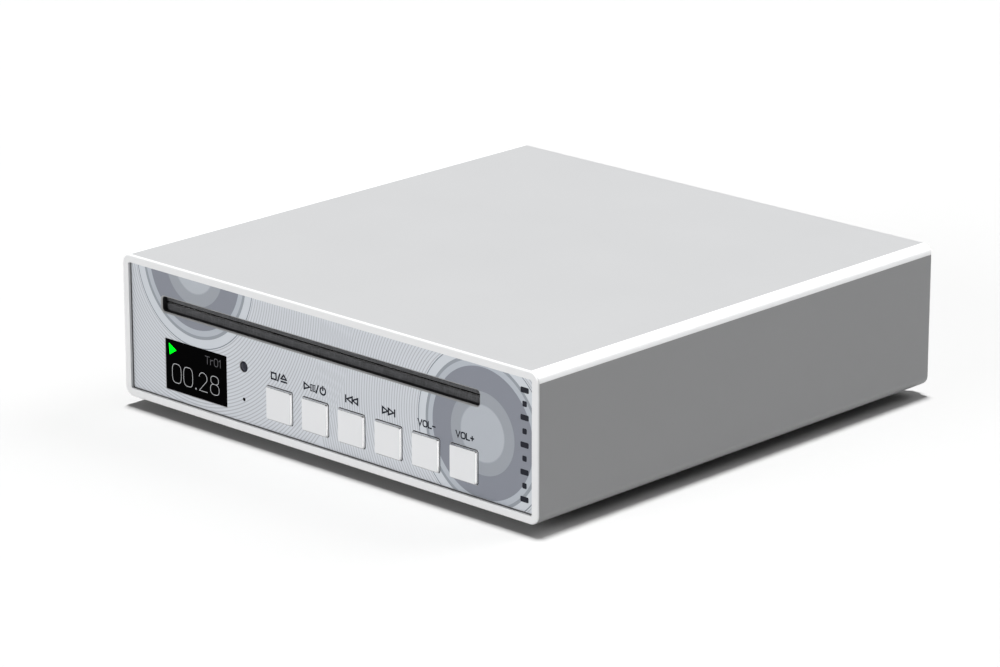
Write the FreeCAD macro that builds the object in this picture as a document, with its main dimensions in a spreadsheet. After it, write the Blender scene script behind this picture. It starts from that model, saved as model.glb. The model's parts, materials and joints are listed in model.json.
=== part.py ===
import FreeCAD, Part
import math
import operator
import os
from types import SimpleNamespace

import Sketcher
from FreeCAD import Placement, Rotation, Vector

# A slot-loading CD player as a parametric document, in millimetres. X runs to the right seen from
# the front, Y to the back and Z up. The origin is on the floor, in the middle of the whole player.

CELLS = {
    # casing
    "case_wide": 164.0, "case_deep": 167.0, "case_tall": 43.0, "case_wall": 2.4,
    "case_round": 3.0, "case_inner_round": 0.8, "case_front": -88.0, "foot_tall": 3.3,
    "channel_inset": 2.8, "channel_radius": 3.0, "channel_bore": 1.25, "channel_back": 2.4,
    # front panel and what shows in it
    "panel_recess": 1.0, "panel_thick": 1.8, "panel_gap": 0.15, "panel_round": 0.7,
    "slot_middle": -3.65, "slot_height": 33.9, "slot_wide": 126.0, "slot_tall": 4.4,
    "slot_round": 1.0, "slot_lip": 0.4,
    "display_middle": -52.7, "display_height": 16.25, "display_wide": 25.5, "display_tall": 15.1,
    "display_fit": 0.05, "module_wide": 28.0, "module_tall": 18.4, "module_thick": 1.8,
    "sensor_middle": -32.75, "sensor_height": 22.4, "sensor_radius": 1.5,
    "reset_height": 12.7, "reset_radius": 0.4,
    "boss_middle": 70.3, "boss_height": 14.0, "boss_radius": 2.0, "boss_tall": 0.8,
    # slot brush
    "felt_frame_wide": 134.0, "felt_frame_tall": 9.4, "felt_frame_thick": 0.4,
    "felt_thick": 1.0, "felt_gap": 0.5, "felt_wide": 130.0, "felt_tall": 4.2,
    # buttons
    "button_first": -18.1, "button_pitch": 14.38, "button_height": 14.2, "button_wide": 10.1,
    "button_tall": 9.7, "button_proud": 0.8, "button_gap": 0.2, "button_bevel": 0.5,
    "button_corner": 0.6, "button_rim": 0.75, "button_rim_thick": 0.8, "button_rest_gap": 0.1,
    "button_pin": 1.5, "button_pin_tip": -80.0, "switch_side": 6.2, "switch_front": -82.6,
    "switch_well": 1.7, "switch_floor": 0.4,
    # front circuit board
    "front_board_left": -72.0, "front_board_right": 66.0, "front_board_low": 7.6,
    "front_board_top": 25.4, "front_board_face": -78.6, "board_thick": 1.6,
    "pillar_left": -36.6, "pillar_right": 62.8, "pillar_low": 9.6, "pillar_high": 23.4,
    "pillar_radius": 1.5, "receiver_wide": 4.4, "receiver_tall": 5.2, "receiver_face": -83.6,
    # small screws
    "screw_radius": 0.95, "screw_head": 2.0, "screw_head_tall": 1.2, "screw_long": 3.9,
    "screw_bore": 1.0,
    # tray and feet
    "tray_half": 73.2, "tray_sheet": 1.2, "tray_back": 75.5, "tray_lip": 7.1, "tray_lip_end": 70.0,
    "tab_inner": 67.6, "tab_outer": 73.0, "tab_top": 20.0,
    "foot_x": 66.0, "foot_front": -72.0, "foot_back": 62.0, "foot_radius": 7.0,
    "foot_bore": 3.2, "foot_floor": 1.2, "foot_rim": 0.6,
    "foot_screw_head": 2.8, "foot_screw_head_tall": 1.2, "foot_screw_shank": 1.45,
    "foot_screw_top": 9.0, "foot_screw_hole": 1.7, "insert_radius": 3.0, "insert_tall": 2.5,
    "insert_bore": 1.5,
    # rear panel and sockets
    "rear_thick": 2.0, "rear_inset": 0.4, "rear_screw_head": 2.6, "rear_screw_head_tall": 1.5,
    "rear_screw_shank": 1.2, "rear_screw_long": 8.0, "rear_screw_hole": 1.4,
    "left_socket": -52.0, "right_socket": -38.0, "digital_socket": -22.0, "socket_height": 21.0,
    "socket_face": 64.6, "socket_half": 5.6, "barrel_radius": 4.15, "barrel_wall": 0.6,
    "barrel_end": 88.0, "nose_radius": 3.52, "nose_bore": 1.65, "nose_inset": 1.5,
    "nose_deep": 11.0, "barrel_flange": 5.4,
    "barrel_flange_thick": 0.6, "socket_hole": 4.4,
    "optical_middle": -4.0, "optical_half": 4.85, "optical_top": 22.3, "optical_end": 79.8,
    "port_half": 3.2, "port_low": 14.6, "port_high": 21.0, "port_deep": 8.0,
    "flap_thick": 0.6, "flap_gap": 0.15, "flap_axis_drop": 0.7, "flap_axis_in": 1.2,
    "flap_pin": 0.33,
    "power_middle": 46.0, "power_half": 4.5, "power_top": 23.5, "power_height": 18.0,
    "power_nose": 4.0, "power_bore": 2.8, "power_pin": 1.0, "power_end": 79.2,
    "power_hole": 4.2, "power_deep": 9.0,
    # main circuit board
    "main_left": -60.0, "main_right": 53.0, "main_front": -60.0, "main_back": 76.4,
    "main_low": 10.9, "main_pillar": 3.0, "main_pillar_x": 50.0, "main_pillar_front": -54.0,
    "main_pillar_back": 58.0, "main_shift": -3.5, "capacitor_radius": 4.0, "capacitor_tall": 13.0,
    "capacitor_first": 8.0, "capacitor_pitch": 10.0, "capacitor_y": 70.0,
    "chip_side": 12.0, "chip_thick": 1.4, "cable_wide": 20.0, "cable_thick": 0.3,
    "cable_middle": -10.0, "plug_tall": 2.4, "plug_deep": 4.0,
    # loader frame
    "bay_x": -3.65, "disc_y": -8.0, "frame_half": 67.0, "frame_wall": 2.0, "frame_front": -75.5,
    "frame_back": 64.0, "frame_low": 14.0, "frame_top": 37.2, "bar_front": -66.0, "bar_low": 17.0,
    "bar_top": 24.5, "lug_thick": 1.6, "lug_deep": 10.0, "lug_wide": 8.0, "lug_front": -58.0,
    "lug_back": 54.0, "lug_x": 62.0, "lug_hole": 2.4, "post_radius": 3.2, "post_top": 10.0,
    "post_bore": 1.45, "damper_radius": 4.5, "damper_bore": 1.6, "damper_screw": 1.4,
    "damper_head": 2.9, "damper_head_tall": 1.4, "damper_screw_low": 8.0,
    "block_wide": 4.4, "block_deep": 5.0, "block_low": 31.0, "block_front": -63.5,
    "block_back": 59.5, "top_sheet": 1.0, "guide_front": -79.5, "guide_back": -66.5,
    "guide_half": 62.0, "guide_low": 35.25, "guide_bevel": 1.2, "rib_tall": 0.8, "rib_wide": 3.0,
    # traverse
    "lift": 4.7, "deck_low": 24.5, "deck_sheet": 1.2, "deck_half": 64.35, "deck_front": -46.0,
    "deck_back": 61.2, "cheek_low": 20.5, "cheek_front": -36.0, "cheek_back": 50.0,
    "pin_height": 23.0, "pin_radius": 1.2, "pin_front": -30.0, "pin_back": 44.0,
    "pin_reach": 68.75, "pin_play": 0.15, "window_half": 20.0, "window_front": 6.5,
    "window_back": 58.5,
    "motor_radius": 12.0, "motor_low": 18.5, "shaft_radius": 1.0, "shaft_play": 0.06,
    "table_radius": 15.0, "table_low": 26.2, "table_top": 29.3, "hub_radius": 7.4,
    "hub_top": 30.6, "hub_tip": 31.1, "hub_tip_radius": 5.0, "pad_inner": 11.0,
    "pad_outer": 14.6, "pad_sink": 0.5,
    "guide_rod_x": 18.0, "guide_rod_z": 20.5, "guide_rod_radius": 1.5, "rod_start": 4.0,
    "rod_end": 61.0, "clamp_deep": 3.0, "clamp_half": 2.6, "clamp_low": 17.9,
    "lead_x": -27.0, "lead_radius": 1.4, "lead_start": 3.6, "lead_end": 58.2,
    "sled_radius": 3.9, "sled_front": -15.0, "sled_back": 3.4,
    # pickup
    "lens_out": 24.0, "pickup_half": 14.0, "pickup_before": 8.0, "pickup_after": 7.0,
    "pickup_low": 17.5, "pickup_top": 27.2, "bush_radius": 2.8, "rod_play": 0.06,
    "fork_reach": 20.6, "fork_low": 18.4, "fork_top": 22.6, "fork_play": 0.1,
    "nut_reach": 30.2, "nut_before": 4.0, "nut_after": 3.0, "nut_low": 18.2, "nut_top": 22.8,
    "nut_play": 0.12, "holder_half": 5.5, "holder_low": 27.8, "holder_top": 28.3,
    "holder_before": 6.0, "lens_radius": 2.0, "lens_top": 28.6, "lens_low": 27.9,
    # cam slide
    "cam_gap": 0.3, "cam_sheet": 1.2, "cam_front": -50.0, "cam_back": 54.0, "cam_low": 19.5,
    "cam_top": 31.5, "cam_arm_front": 40.0, "cam_arm_low": 30.5, "cam_arm_top": 34.5,
    "cam_arm_back": 65.8, "cam_ratio": 2.0,
    # clamp puck
    "puck_radius": 14.0, "puck_low": 35.3, "puck_step": 36.9, "puck_neck": 11.5,
    "puck_neck_top": 38.6, "puck_flange": 15.0, "puck_top": 39.8, "puck_recess": 8.2,
    "puck_recess_top": 36.6, "puck_hole": 12.3, "magnet_radius": 8.0, "magnet_thick": 1.0,
    # roller and gears
    "roller_y": -73.0, "roller_z": 29.2, "roller_shaft": 1.5, "roller_end": 4.0,
    "roller_waist": 3.4, "roller_half": 60.0, "roller_sleeve": 1.52, "roller_bore": 1.56,
    "roller_left": 68.4, "roller_right": 72.2, "collar_radius": 2.6, "collar_thick": 1.0,
    "gear_start": 65.2, "gear_wide": 3.0, "gear_module": 0.5, "gear_play": 0.1,
    "drive_y": -56.0, "drive_z": 22.6, "drive_radius": 5.0, "drive_left": 43.0,
    "drive_shaft": 0.75, "drive_hole": 1.2, "idler_post": 1.0, "idler_bore": 1.06,
    "idler_head": 1.8, "idler_head_thick": 0.6,
}

BUTTONS = ("stop", "play", "previous", "next", "volume_down", "volume_up")
ROLLER_TEETH = 20
IDLER_TEETH = 24
PINION_TEETH = 10
OPERATIONS = {"+": operator.add, "-": operator.sub, "*": operator.mul, "/": operator.truediv}
TURN = {
    "x": Rotation(Vector(0, 1, 0), 90),
    "y": Rotation(Vector(1, 0, 0), -90),
    "z": Rotation(),
    "-y": Rotation(Vector(1, 0, 0), 90),
    "-z": Rotation(Vector(1, 0, 0), 180),
}

doc = FreeCAD.newDocument("cd_player")
sheet = doc.addObject("Spreadsheet::Sheet", "Sizes")
for row, (word, number) in enumerate(CELLS.items(), start=1):
    sheet.set(f"A{row}", word)
    sheet.set(f"B{row}", str(number))
    sheet.setAlias(f"B{row}", word)
doc.recompute()


# --- sizes that know their formula ---------------------------------------------------------------

class Size:
    """A length that holds its number and the formula on the sheet that gives it."""

    def __init__(self, number, text):
        self.number = number
        self.text = text

    def __add__(self, other):
        return combine(self, "+", other)

    def __radd__(self, other):
        return combine(other, "+", self)

    def __sub__(self, other):
        return combine(self, "-", other)

    def __rsub__(self, other):
        return combine(other, "-", self)

    def __mul__(self, other):
        return combine(self, "*", other)

    def __rmul__(self, other):
        return combine(other, "*", self)

    def __truediv__(self, other):
        return combine(self, "/", other)

    def __neg__(self):
        return combine(0, "-", self)


def as_size(value):
    """Take a size as it is, and give a plain number a formula of its own."""
    return value if isinstance(value, Size) else Size(float(value), f"({float(value)})")


def combine(left, sign, right):
    """Join two sizes with + - * or /."""
    left, right = as_size(left), as_size(right)
    return Size(OPERATIONS[sign](left.number, right.number), f"({left.text} {sign} {right.text})")


def bind(thing, prop, size):
    """Bind one property of an object to the sheet."""
    thing.setExpression(prop, as_size(size).text)


s = SimpleNamespace(**{word: Size(number, f"Sizes.{word}") for word, number in CELLS.items()})

case_half = s.case_wide / 2
case_low = s.foot_tall
case_high = case_low + s.case_tall
case_back = s.case_front + s.case_deep
inner_half = case_half - s.case_wall
inner_low = case_low + s.case_wall
inner_high = case_high - s.case_wall
panel_face = s.case_front + s.panel_recess
panel_back = panel_face + s.panel_thick
rear_face = case_back - s.rear_inset
rear_inside = rear_face - s.rear_thick
tray_top = inner_low + s.tray_sheet
board_back = s.front_board_face + s.board_thick
main_top = s.main_low + s.board_thick
rim_front = panel_back + s.button_rest_gap
rim_back = rim_front + s.button_rim_thick
frame_left = s.bay_x - s.frame_half
frame_right = s.bay_x + s.frame_half
deck_top = s.deck_low + s.deck_sheet
lens_y = s.disc_y + s.lens_out
top_plate_high = s.frame_top + s.top_sheet


# --- drawing helpers -----------------------------------------------------------------------------

def place(thing, x, y, z):
    """Bind an object's position to three sizes."""
    for axis, size in zip("xyz", (x, y, z)):
        bind(thing, f"Placement.Base.{axis}", size)


def block(x0, x1, y0, y1, z0, z1):
    """Make a box between six planes."""
    box = doc.addObject("Part::Box", "block")
    bind(box, "Length", as_size(x1) - x0)
    bind(box, "Width", as_size(y1) - y0)
    bind(box, "Height", as_size(z1) - z0)
    place(box, x0, y0, z0)
    return box


def centred(x, half, y0, y1, z0, z1):
    """Make a box that is symmetric about one x."""
    return block(x - half, x + half, y0, y1, z0, z1)


def rod(way, x, y, z, radius, length):
    """Make a cylinder that starts at a point and runs along an axis."""
    pin = doc.addObject("Part::Cylinder", "rod")
    pin.Placement = Placement(Vector(), TURN[way])
    bind(pin, "Radius", radius)
    bind(pin, "Height", length)
    place(pin, x, y, z)
    return pin


def fused(*pieces):
    """Join pieces into one solid."""
    whole = doc.addObject("Part::MultiFuse", "fused")
    whole.Shapes = list(pieces)
    whole.Refine = True
    return whole


def cut(body, *holes):
    """Cut holes out of a piece."""
    whole = doc.addObject("Part::Cut", "cut")
    whole.Base = body
    whole.Tool = holes[0] if len(holes) == 1 else gathered(*holes)
    return whole


def gathered(*pieces):
    """Keep separate solids together in one object."""
    whole = doc.addObject("Part::Compound", "gathered")
    whole.Links = list(pieces)
    return whole


NODES = []


def node(label, thing):
    """Name a finished sub-part; its label is also its file's name."""
    thing.Label = label
    NODES.append(thing)
    return thing


def body_on(x, y, z, way="z"):
    """Start a PartDesign body at a place, with its own Z along an axis."""
    body = doc.addObject("PartDesign::Body", "body")
    body.Placement = Placement(Vector(), TURN[way])
    place(body, x, y, z)
    return body


def sketch_in(body, role, offset=0):
    """Start a sketch on one of the body's own planes."""
    sketch = body.newObject("Sketcher::SketchObject", "sketch")
    support = next(plane for plane in body.Origin.OriginFeatures if plane.Role == role)
    sketch.AttachmentSupport = [(support, "")]
    sketch.MapMode = "FlatFace"
    bind(sketch, "AttachmentOffset.Base.z", offset)
    return sketch


def hold(sketch, constraint, size):
    """Add a constraint whose value comes from the sheet."""
    index = sketch.addConstraint(constraint)
    bind(sketch, f"Constraints[{index}]", size)


def hold_point(sketch, geometry, corner, x, y):
    """Hold a sketch point at its two distances from the sketch's origin."""
    for kind, size in (("DistanceX", as_size(x)), ("DistanceY", as_size(y))):
        hold(sketch, Sketcher.Constraint(kind, -1, 1, geometry, corner, size.number), size)


def outline(sketch, points):
    """Draw a closed outline of straight lines through points."""
    first = sketch.GeometryCount
    corners = [Vector(as_size(x).number, as_size(y).number, 0) for x, y in points]
    for start, end in zip(corners, corners[1:] + corners[:1]):
        sketch.addGeometry(Part.LineSegment(start, end))
    for step, (x, y) in enumerate(points):
        following = first + (step + 1) % len(points)
        sketch.addConstraint(Sketcher.Constraint("Coincident", first + step, 2, following, 1))
        hold_point(sketch, first + step, 1, x, y)


def rectangle(sketch, x0, x1, y0, y1):
    """Draw a rectangle between four lines."""
    outline(sketch, [(x0, y0), (x1, y0), (x1, y1), (x0, y1)])


def circle(sketch, x, y, radius):
    """Draw a circle."""
    radius = as_size(radius)
    centre = Vector(as_size(x).number, as_size(y).number, 0)
    index = sketch.addGeometry(Part.Circle(centre, Vector(0, 0, 1), radius.number))
    hold(sketch, Sketcher.Constraint("Radius", index, radius.number), radius)
    hold_point(sketch, index, 3, x, y)


def pad(body, sketch, length, backwards=False):
    """Grow a sketch into the body's solid."""
    feature = body.newObject("PartDesign::Pad", "pad")
    feature.Profile = sketch
    feature.Reversed = backwards
    bind(feature, "Length", length)
    body.Tip = feature
    doc.recompute()
    return feature


def pocket(body, sketch, length, backwards=False):
    """Sink a sketch into the body's solid, and stop if nothing was cut."""
    before = body.Shape.Volume
    feature = body.newObject("PartDesign::Pocket", "pocket")
    feature.Profile = sketch
    feature.Reversed = backwards
    bind(feature, "Length", length)
    body.Tip = feature
    doc.recompute()
    if body.Shape.Volume >= before:
        raise RuntimeError("a pocket cut nothing")
    return feature


def dress(body, kind, size, wanted):
    """Fillet or chamfer the edges whose middle passes a test."""
    base = body.Tip
    names = [f"Edge{index}" for index, edge in enumerate(base.Shape.Edges, start=1)
             if wanted(edge, edge.CenterOfMass)]
    feature = body.newObject(f"PartDesign::{kind}", kind.lower())
    feature.Base = (base, names)
    bind(feature, "Radius" if kind == "Fillet" else "Size", size)
    body.Tip = feature
    doc.recompute()
    return feature


def runs_along(edge, axis):
    """Tell whether an edge is straight and parallel to an axis."""
    if not isinstance(edge.Curve, Part.Line):
        return False
    return abs(getattr(edge.Curve.Direction, axis)) > 0.999


def turned(x, y, z, way, profile):
    """Turn a profile of (radius, height) points about the body's own Z axis."""
    body = body_on(x, y, z, way)
    sketch = sketch_in(body, "XZ_Plane")
    outline(sketch, profile)
    feature = body.newObject("PartDesign::Revolution", "revolution")
    feature.Profile = sketch
    feature.ReferenceAxis = (sketch, ["V_Axis"])
    feature.Angle = 360
    body.Tip = feature
    return body


def ring(x, y, z, way, inner, outer, length):
    """Make a plain tube that starts at a point."""
    return turned(x, y, z, way, [(inner, 0), (outer, 0), (outer, length), (inner, length)])


def screw(way, x, y, z, head, head_tall, shank, long):
    """Make a flat-headed screw: its head starts at the point, its shank goes on from there."""
    profile = [(0, 0), (head, 0), (head, head_tall), (shank, head_tall),
               (shank, head_tall + long), (0, head_tall + long)]
    return turned(x, y, z, way, profile)


# --- casing --------------------------------------------------------------------------------------

def screw_channels():
    """List the middles of the four screw channels inside the sleeve's corners."""
    side = inner_half - s.channel_inset
    low = inner_low + s.channel_inset
    high = inner_high - s.channel_inset
    return [(-side, low), (side, low), (side, high), (-side, high)]


def feet():
    """List the middles of the four feet."""
    return [(side * s.foot_x, y) for side in (-1, 1) for y in (s.foot_front, s.foot_back)]


def make_sleeve():
    """Extrude the one-piece casing with its screw channels, and drill it for the feet."""
    body = body_on(0, 0, 0)
    skin = sketch_in(body, "XZ_Plane", -s.case_front)
    rectangle(skin, -case_half, case_half, case_low, case_high)
    pad(body, skin, s.case_deep, backwards=True)
    dress(body, "Fillet", s.case_round, lambda edge, middle: runs_along(edge, "y"))
    hollow = sketch_in(body, "XZ_Plane", -s.case_front)
    rectangle(hollow, -inner_half, inner_half, inner_low, inner_high)
    pocket(body, hollow, s.case_deep)
    dress(body, "Fillet", s.case_inner_round,
          lambda edge, middle: runs_along(edge, "y") and abs(middle.x) > inner_half.number - 0.1
          and abs(middle.x) < case_half.number - s.case_round.number + 0.7)
    channels = sketch_in(body, "XZ_Plane", -(panel_back + s.channel_back))
    for x, z in screw_channels():
        circle(channels, x, z, s.channel_radius)
    channel_long = rear_inside - panel_back - s.channel_back
    pad(body, channels, channel_long, backwards=True)
    bores = sketch_in(body, "XZ_Plane", -(panel_back + s.channel_back))
    for x, z in screw_channels():
        circle(bores, x, z, s.channel_bore)
    pocket(body, bores, channel_long)
    holes = sketch_in(body, "XY_Plane", case_low)
    for x, y in feet():
        circle(holes, x, y, s.foot_screw_hole)
    pocket(body, holes, s.case_wall, backwards=True)
    node("sleeve", body)


def button_middles():
    """List the buttons' names and their x."""
    return [(name, s.button_first + s.button_pitch * index) for index, name in enumerate(BUTTONS)]


def make_front_panel():
    """Make the front plate with the slot, the display's window, the button holes and two bosses."""
    body = body_on(0, 0, 0)
    half = inner_half - s.panel_gap
    plate = sketch_in(body, "XZ_Plane", -panel_face)
    rectangle(plate, -half, half, inner_low + s.panel_gap, inner_high - s.panel_gap)
    pad(body, plate, s.panel_thick, backwards=True)
    dress(body, "Fillet", s.panel_round, lambda edge, middle: runs_along(edge, "y"))
    slot = sketch_in(body, "XZ_Plane", -panel_face)
    rectangle(slot, s.slot_middle - s.slot_wide / 2, s.slot_middle + s.slot_wide / 2,
              s.slot_height - s.slot_tall / 2, s.slot_height + s.slot_tall / 2)
    pocket(body, slot, s.panel_thick)
    slot_reach = s.slot_wide.number / 2
    dress(body, "Fillet", s.slot_round,
          lambda edge, middle: runs_along(edge, "y")
          and abs(abs(middle.x - s.slot_middle.number) - slot_reach) < 0.1)
    dress(body, "Chamfer", s.slot_lip,
          lambda edge, middle: abs(middle.y - panel_face.number) < 0.01
          and abs(middle.x - s.slot_middle.number) < slot_reach + 0.1
          and abs(middle.z - s.slot_height.number) < s.slot_tall.number / 2 + 0.1)
    holes = sketch_in(body, "XZ_Plane", -panel_face)
    wide = s.display_wide / 2 + s.display_fit
    tall = s.display_tall / 2 + s.display_fit
    rectangle(holes, s.display_middle - wide, s.display_middle + wide,
              s.display_height - tall, s.display_height + tall)
    for _, x in button_middles():
        wide = s.button_wide / 2 + s.button_gap
        tall = s.button_tall / 2 + s.button_gap
        rectangle(holes, x - wide, x + wide, s.button_height - tall, s.button_height + tall)
    circle(holes, s.sensor_middle, s.sensor_height, s.sensor_radius + s.display_fit)
    circle(holes, s.sensor_middle, s.reset_height, s.reset_radius)
    pocket(body, holes, s.panel_thick)
    bosses = sketch_in(body, "XZ_Plane", -panel_back)
    for side in (-1, 1):
        circle(bosses, side * s.boss_middle, s.boss_height, s.boss_radius)
    pad(body, bosses, s.boss_tall, backwards=True)
    threads = sketch_in(body, "XZ_Plane", -(panel_back + s.boss_tall))
    for side in (-1, 1):
        circle(threads, side * s.boss_middle, s.boss_height, s.screw_bore)
    pocket(body, threads, s.boss_tall + s.panel_thick / 2, backwards=True)
    node("front_panel", body)


def make_display():
    """Make the flush window, the display behind it and the remote-control sensor."""
    wide, tall = s.display_wide / 2, s.display_tall / 2
    node("display_window", centred(s.display_middle, wide, panel_face, panel_back,
                                   s.display_height - tall, s.display_height + tall))
    node("display_module", centred(s.display_middle, s.module_wide / 2, panel_back,
                                   panel_back + s.module_thick,
                                   s.display_height - s.module_tall / 2,
                                   s.display_height + s.module_tall / 2))
    node("sensor_window", rod("y", s.sensor_middle, panel_face, s.sensor_height,
                              s.sensor_radius, s.receiver_face - panel_face))
    node("remote_receiver", centred(s.sensor_middle, s.receiver_wide / 2, s.receiver_face,
                                    s.front_board_face, s.sensor_height - s.receiver_tall / 2,
                                    s.sensor_height + s.receiver_tall / 2))


def make_slot_felts():
    """Make the frame behind the slot and its two felt strips, which meet with a thin gap."""
    x, z = s.slot_middle, s.slot_height
    back = panel_back + s.felt_frame_thick
    plate = centred(x, s.felt_frame_wide / 2, panel_back, back,
                    z - s.felt_frame_tall / 2, z + s.felt_frame_tall / 2)
    window = centred(x, s.slot_wide / 2 + s.display_fit, panel_back - 1, back + 1,
                     z - s.slot_tall / 2 - s.display_fit, z + s.slot_tall / 2 + s.display_fit)
    node("slot_frame", cut(plate, window))
    for name, side in (("felt_upper", 1), ("felt_lower", -1)):
        near, far = z + side * s.felt_gap / 2, z + side * (s.felt_gap / 2 + s.felt_tall)
        low, high = (near, far) if side > 0 else (far, near)
        node(name, centred(x, s.felt_wide / 2, back, back + s.felt_thick, low, high))


def make_button(name, x):
    """Make one square key: cap, rim behind the panel, and the pin that reaches its switch."""
    body = body_on(x, 0, s.button_height)
    wide, tall = s.button_wide / 2, s.button_tall / 2
    cap = sketch_in(body, "XZ_Plane", -(panel_face - s.button_proud))
    rectangle(cap, -wide, wide, -tall, tall)
    pad(body, cap, rim_front - panel_face + s.button_proud, backwards=True)
    dress(body, "Fillet", s.button_corner, lambda edge, middle: runs_along(edge, "y"))
    face = (panel_face - s.button_proud).number
    dress(body, "Chamfer", s.button_bevel, lambda edge, middle: abs(middle.y - face) < 0.01)
    rim = sketch_in(body, "XZ_Plane", -rim_front)
    rectangle(rim, -wide - s.button_rim, wide + s.button_rim,
              -tall - s.button_rim, tall + s.button_rim)
    pad(body, rim, s.button_rim_thick, backwards=True)
    pin = sketch_in(body, "XZ_Plane", -rim_back)
    circle(pin, 0, 0, s.button_pin)
    pad(body, pin, s.button_pin_tip - rim_back, backwards=True)
    node(f"button_{name}", body)


def front_pillars():
    """List the middles of the pillars that hold the front board to the panel."""
    return [(x, z) for x in (s.pillar_left, s.pillar_right)
            for z in (s.pillar_low, s.pillar_high)]


def main_pillars():
    """List the middles of the pillars that hold the main board to the tray."""
    return [(s.main_shift + side * s.main_pillar_x, y) for side in (-1, 1)
            for y in (s.main_pillar_front, s.main_pillar_back)]


def make_pillars():
    """Make the threaded pillars of both circuit boards."""
    pillars = [ring(x, panel_back, z, "y", s.screw_bore, s.pillar_radius,
                    s.front_board_face - panel_back) for x, z in front_pillars()]
    pillars += [ring(x, y, tray_top, "z", s.screw_bore, s.main_pillar, s.main_low - tray_top)
                for x, y in main_pillars()]
    node("board_pillars", gathered(*pillars))


def make_front_board():
    """Make the board behind the panel with its six switches."""
    board = block(s.front_board_left, s.front_board_right, s.front_board_face, board_back,
                  s.front_board_low, s.front_board_top)
    holes = [rod("y", x, s.front_board_face - 1, z, s.screw_bore, s.board_thick + 2)
             for x, z in front_pillars()]
    node("front_board", cut(board, *holes))
    switches = []
    half = s.switch_side / 2
    for _, x in button_middles():
        case = centred(x, half, s.switch_front, s.front_board_face,
                       s.button_height - half, s.button_height + half)
        well = rod("y", x, s.switch_front - 1, s.button_height, s.switch_well,
                   s.front_board_face - s.switch_front - s.switch_floor + 1)
        switches.append(cut(case, well))
    node("key_switches", gathered(*switches))
    return [("-y", x, board_back + s.screw_head_tall, z) for x, z in front_pillars()]


def make_tray():
    """Fold the tray: floor, side lips, two front tabs, threaded inserts and the loader's posts."""
    tray_front = panel_back + s.boss_tall
    pieces = [block(-s.tray_half, s.tray_half, tray_front, s.tray_back, inner_low, tray_top)]
    for side in (-1, 1):
        lip = s.tray_half - s.tray_sheet / 2
        pieces.append(centred(side * lip, s.tray_sheet / 2, -s.tray_lip_end, s.tray_lip_end,
                              tray_top, tray_top + s.tray_lip))
        tab = (s.tab_inner + s.tab_outer) / 2
        pieces.append(centred(side * tab, (s.tab_outer - s.tab_inner) / 2, tray_front,
                              tray_front + s.tray_sheet, tray_top, s.tab_top))
    holes = []
    for x, y in feet():
        pieces.append(rod("z", x, y, tray_top, s.insert_radius, s.insert_tall))
        holes.append(rod("z", x, y, inner_low - 1, s.insert_bore, s.tray_sheet + s.insert_tall + 2))
    for x, y in loader_lugs():
        pieces.append(rod("z", x, y, tray_top, s.post_radius, s.post_top - tray_top))
        holes.append(rod("z", x, y, tray_top, s.post_bore, s.post_top - tray_top + 1))
    for side in (-1, 1):
        holes.append(rod("y", side * s.boss_middle, tray_front - 1, s.boss_height, s.screw_bore,
                         s.tray_sheet + 2))
    node("tray", cut(fused(*pieces), *holes))
    return [("-y", side * s.boss_middle, tray_front + s.tray_sheet + s.screw_head_tall,
             s.boss_height) for side in (-1, 1)]


def make_feet():
    """Turn the four rubber feet, each with a counterbore for the screw that holds the tray."""
    profile = [(s.foot_screw_hole, s.foot_floor), (s.foot_bore, s.foot_floor), (s.foot_bore, 0),
               (s.foot_radius - s.foot_rim, 0), (s.foot_radius, s.foot_rim),
               (s.foot_radius, s.foot_tall), (s.foot_screw_hole, s.foot_tall)]
    head_low = s.foot_floor
    rubber, screws = [], []
    for x, y in feet():
        rubber.append(turned(x, y, 0, "z", profile))
        screws.append(screw("z", x, y, head_low - s.foot_screw_head_tall, s.foot_screw_head,
                            s.foot_screw_head_tall, s.foot_screw_shank,
                            s.foot_screw_top - head_low))
    node("feet", gathered(*rubber))
    node("foot_screws", gathered(*screws))


# --- rear ----------------------------------------------------------------------------------------

def make_rear_panel():
    """Make the rear plate with the holes for its sockets and four screws."""
    body = body_on(0, 0, 0)
    half = inner_half - s.panel_gap
    plate = sketch_in(body, "XZ_Plane", -rear_inside)
    rectangle(plate, -half, half, inner_low + s.panel_gap, inner_high - s.panel_gap)
    pad(body, plate, s.rear_thick, backwards=True)
    dress(body, "Fillet", s.panel_round, lambda edge, middle: runs_along(edge, "y"))
    holes = sketch_in(body, "XZ_Plane", -rear_inside)
    for x, z in screw_channels():
        circle(holes, x, z, s.rear_screw_hole)
    for x in (s.left_socket, s.right_socket, s.digital_socket):
        circle(holes, x, s.socket_height, s.socket_hole)
    rectangle(holes, s.optical_middle - s.optical_half - s.panel_gap,
              s.optical_middle + s.optical_half + s.panel_gap,
              main_top - s.panel_gap, s.optical_top + s.panel_gap)
    circle(holes, s.power_middle, s.power_height, s.power_hole)
    pocket(body, holes, s.rear_thick)
    node("rear_panel", body)
    screws = [screw("-y", x, rear_face + s.rear_screw_head_tall, z, s.rear_screw_head,
                    s.rear_screw_head_tall, s.rear_screw_shank, s.rear_screw_long)
              for x, z in screw_channels()]
    node("rear_screws", gathered(*screws))


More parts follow.
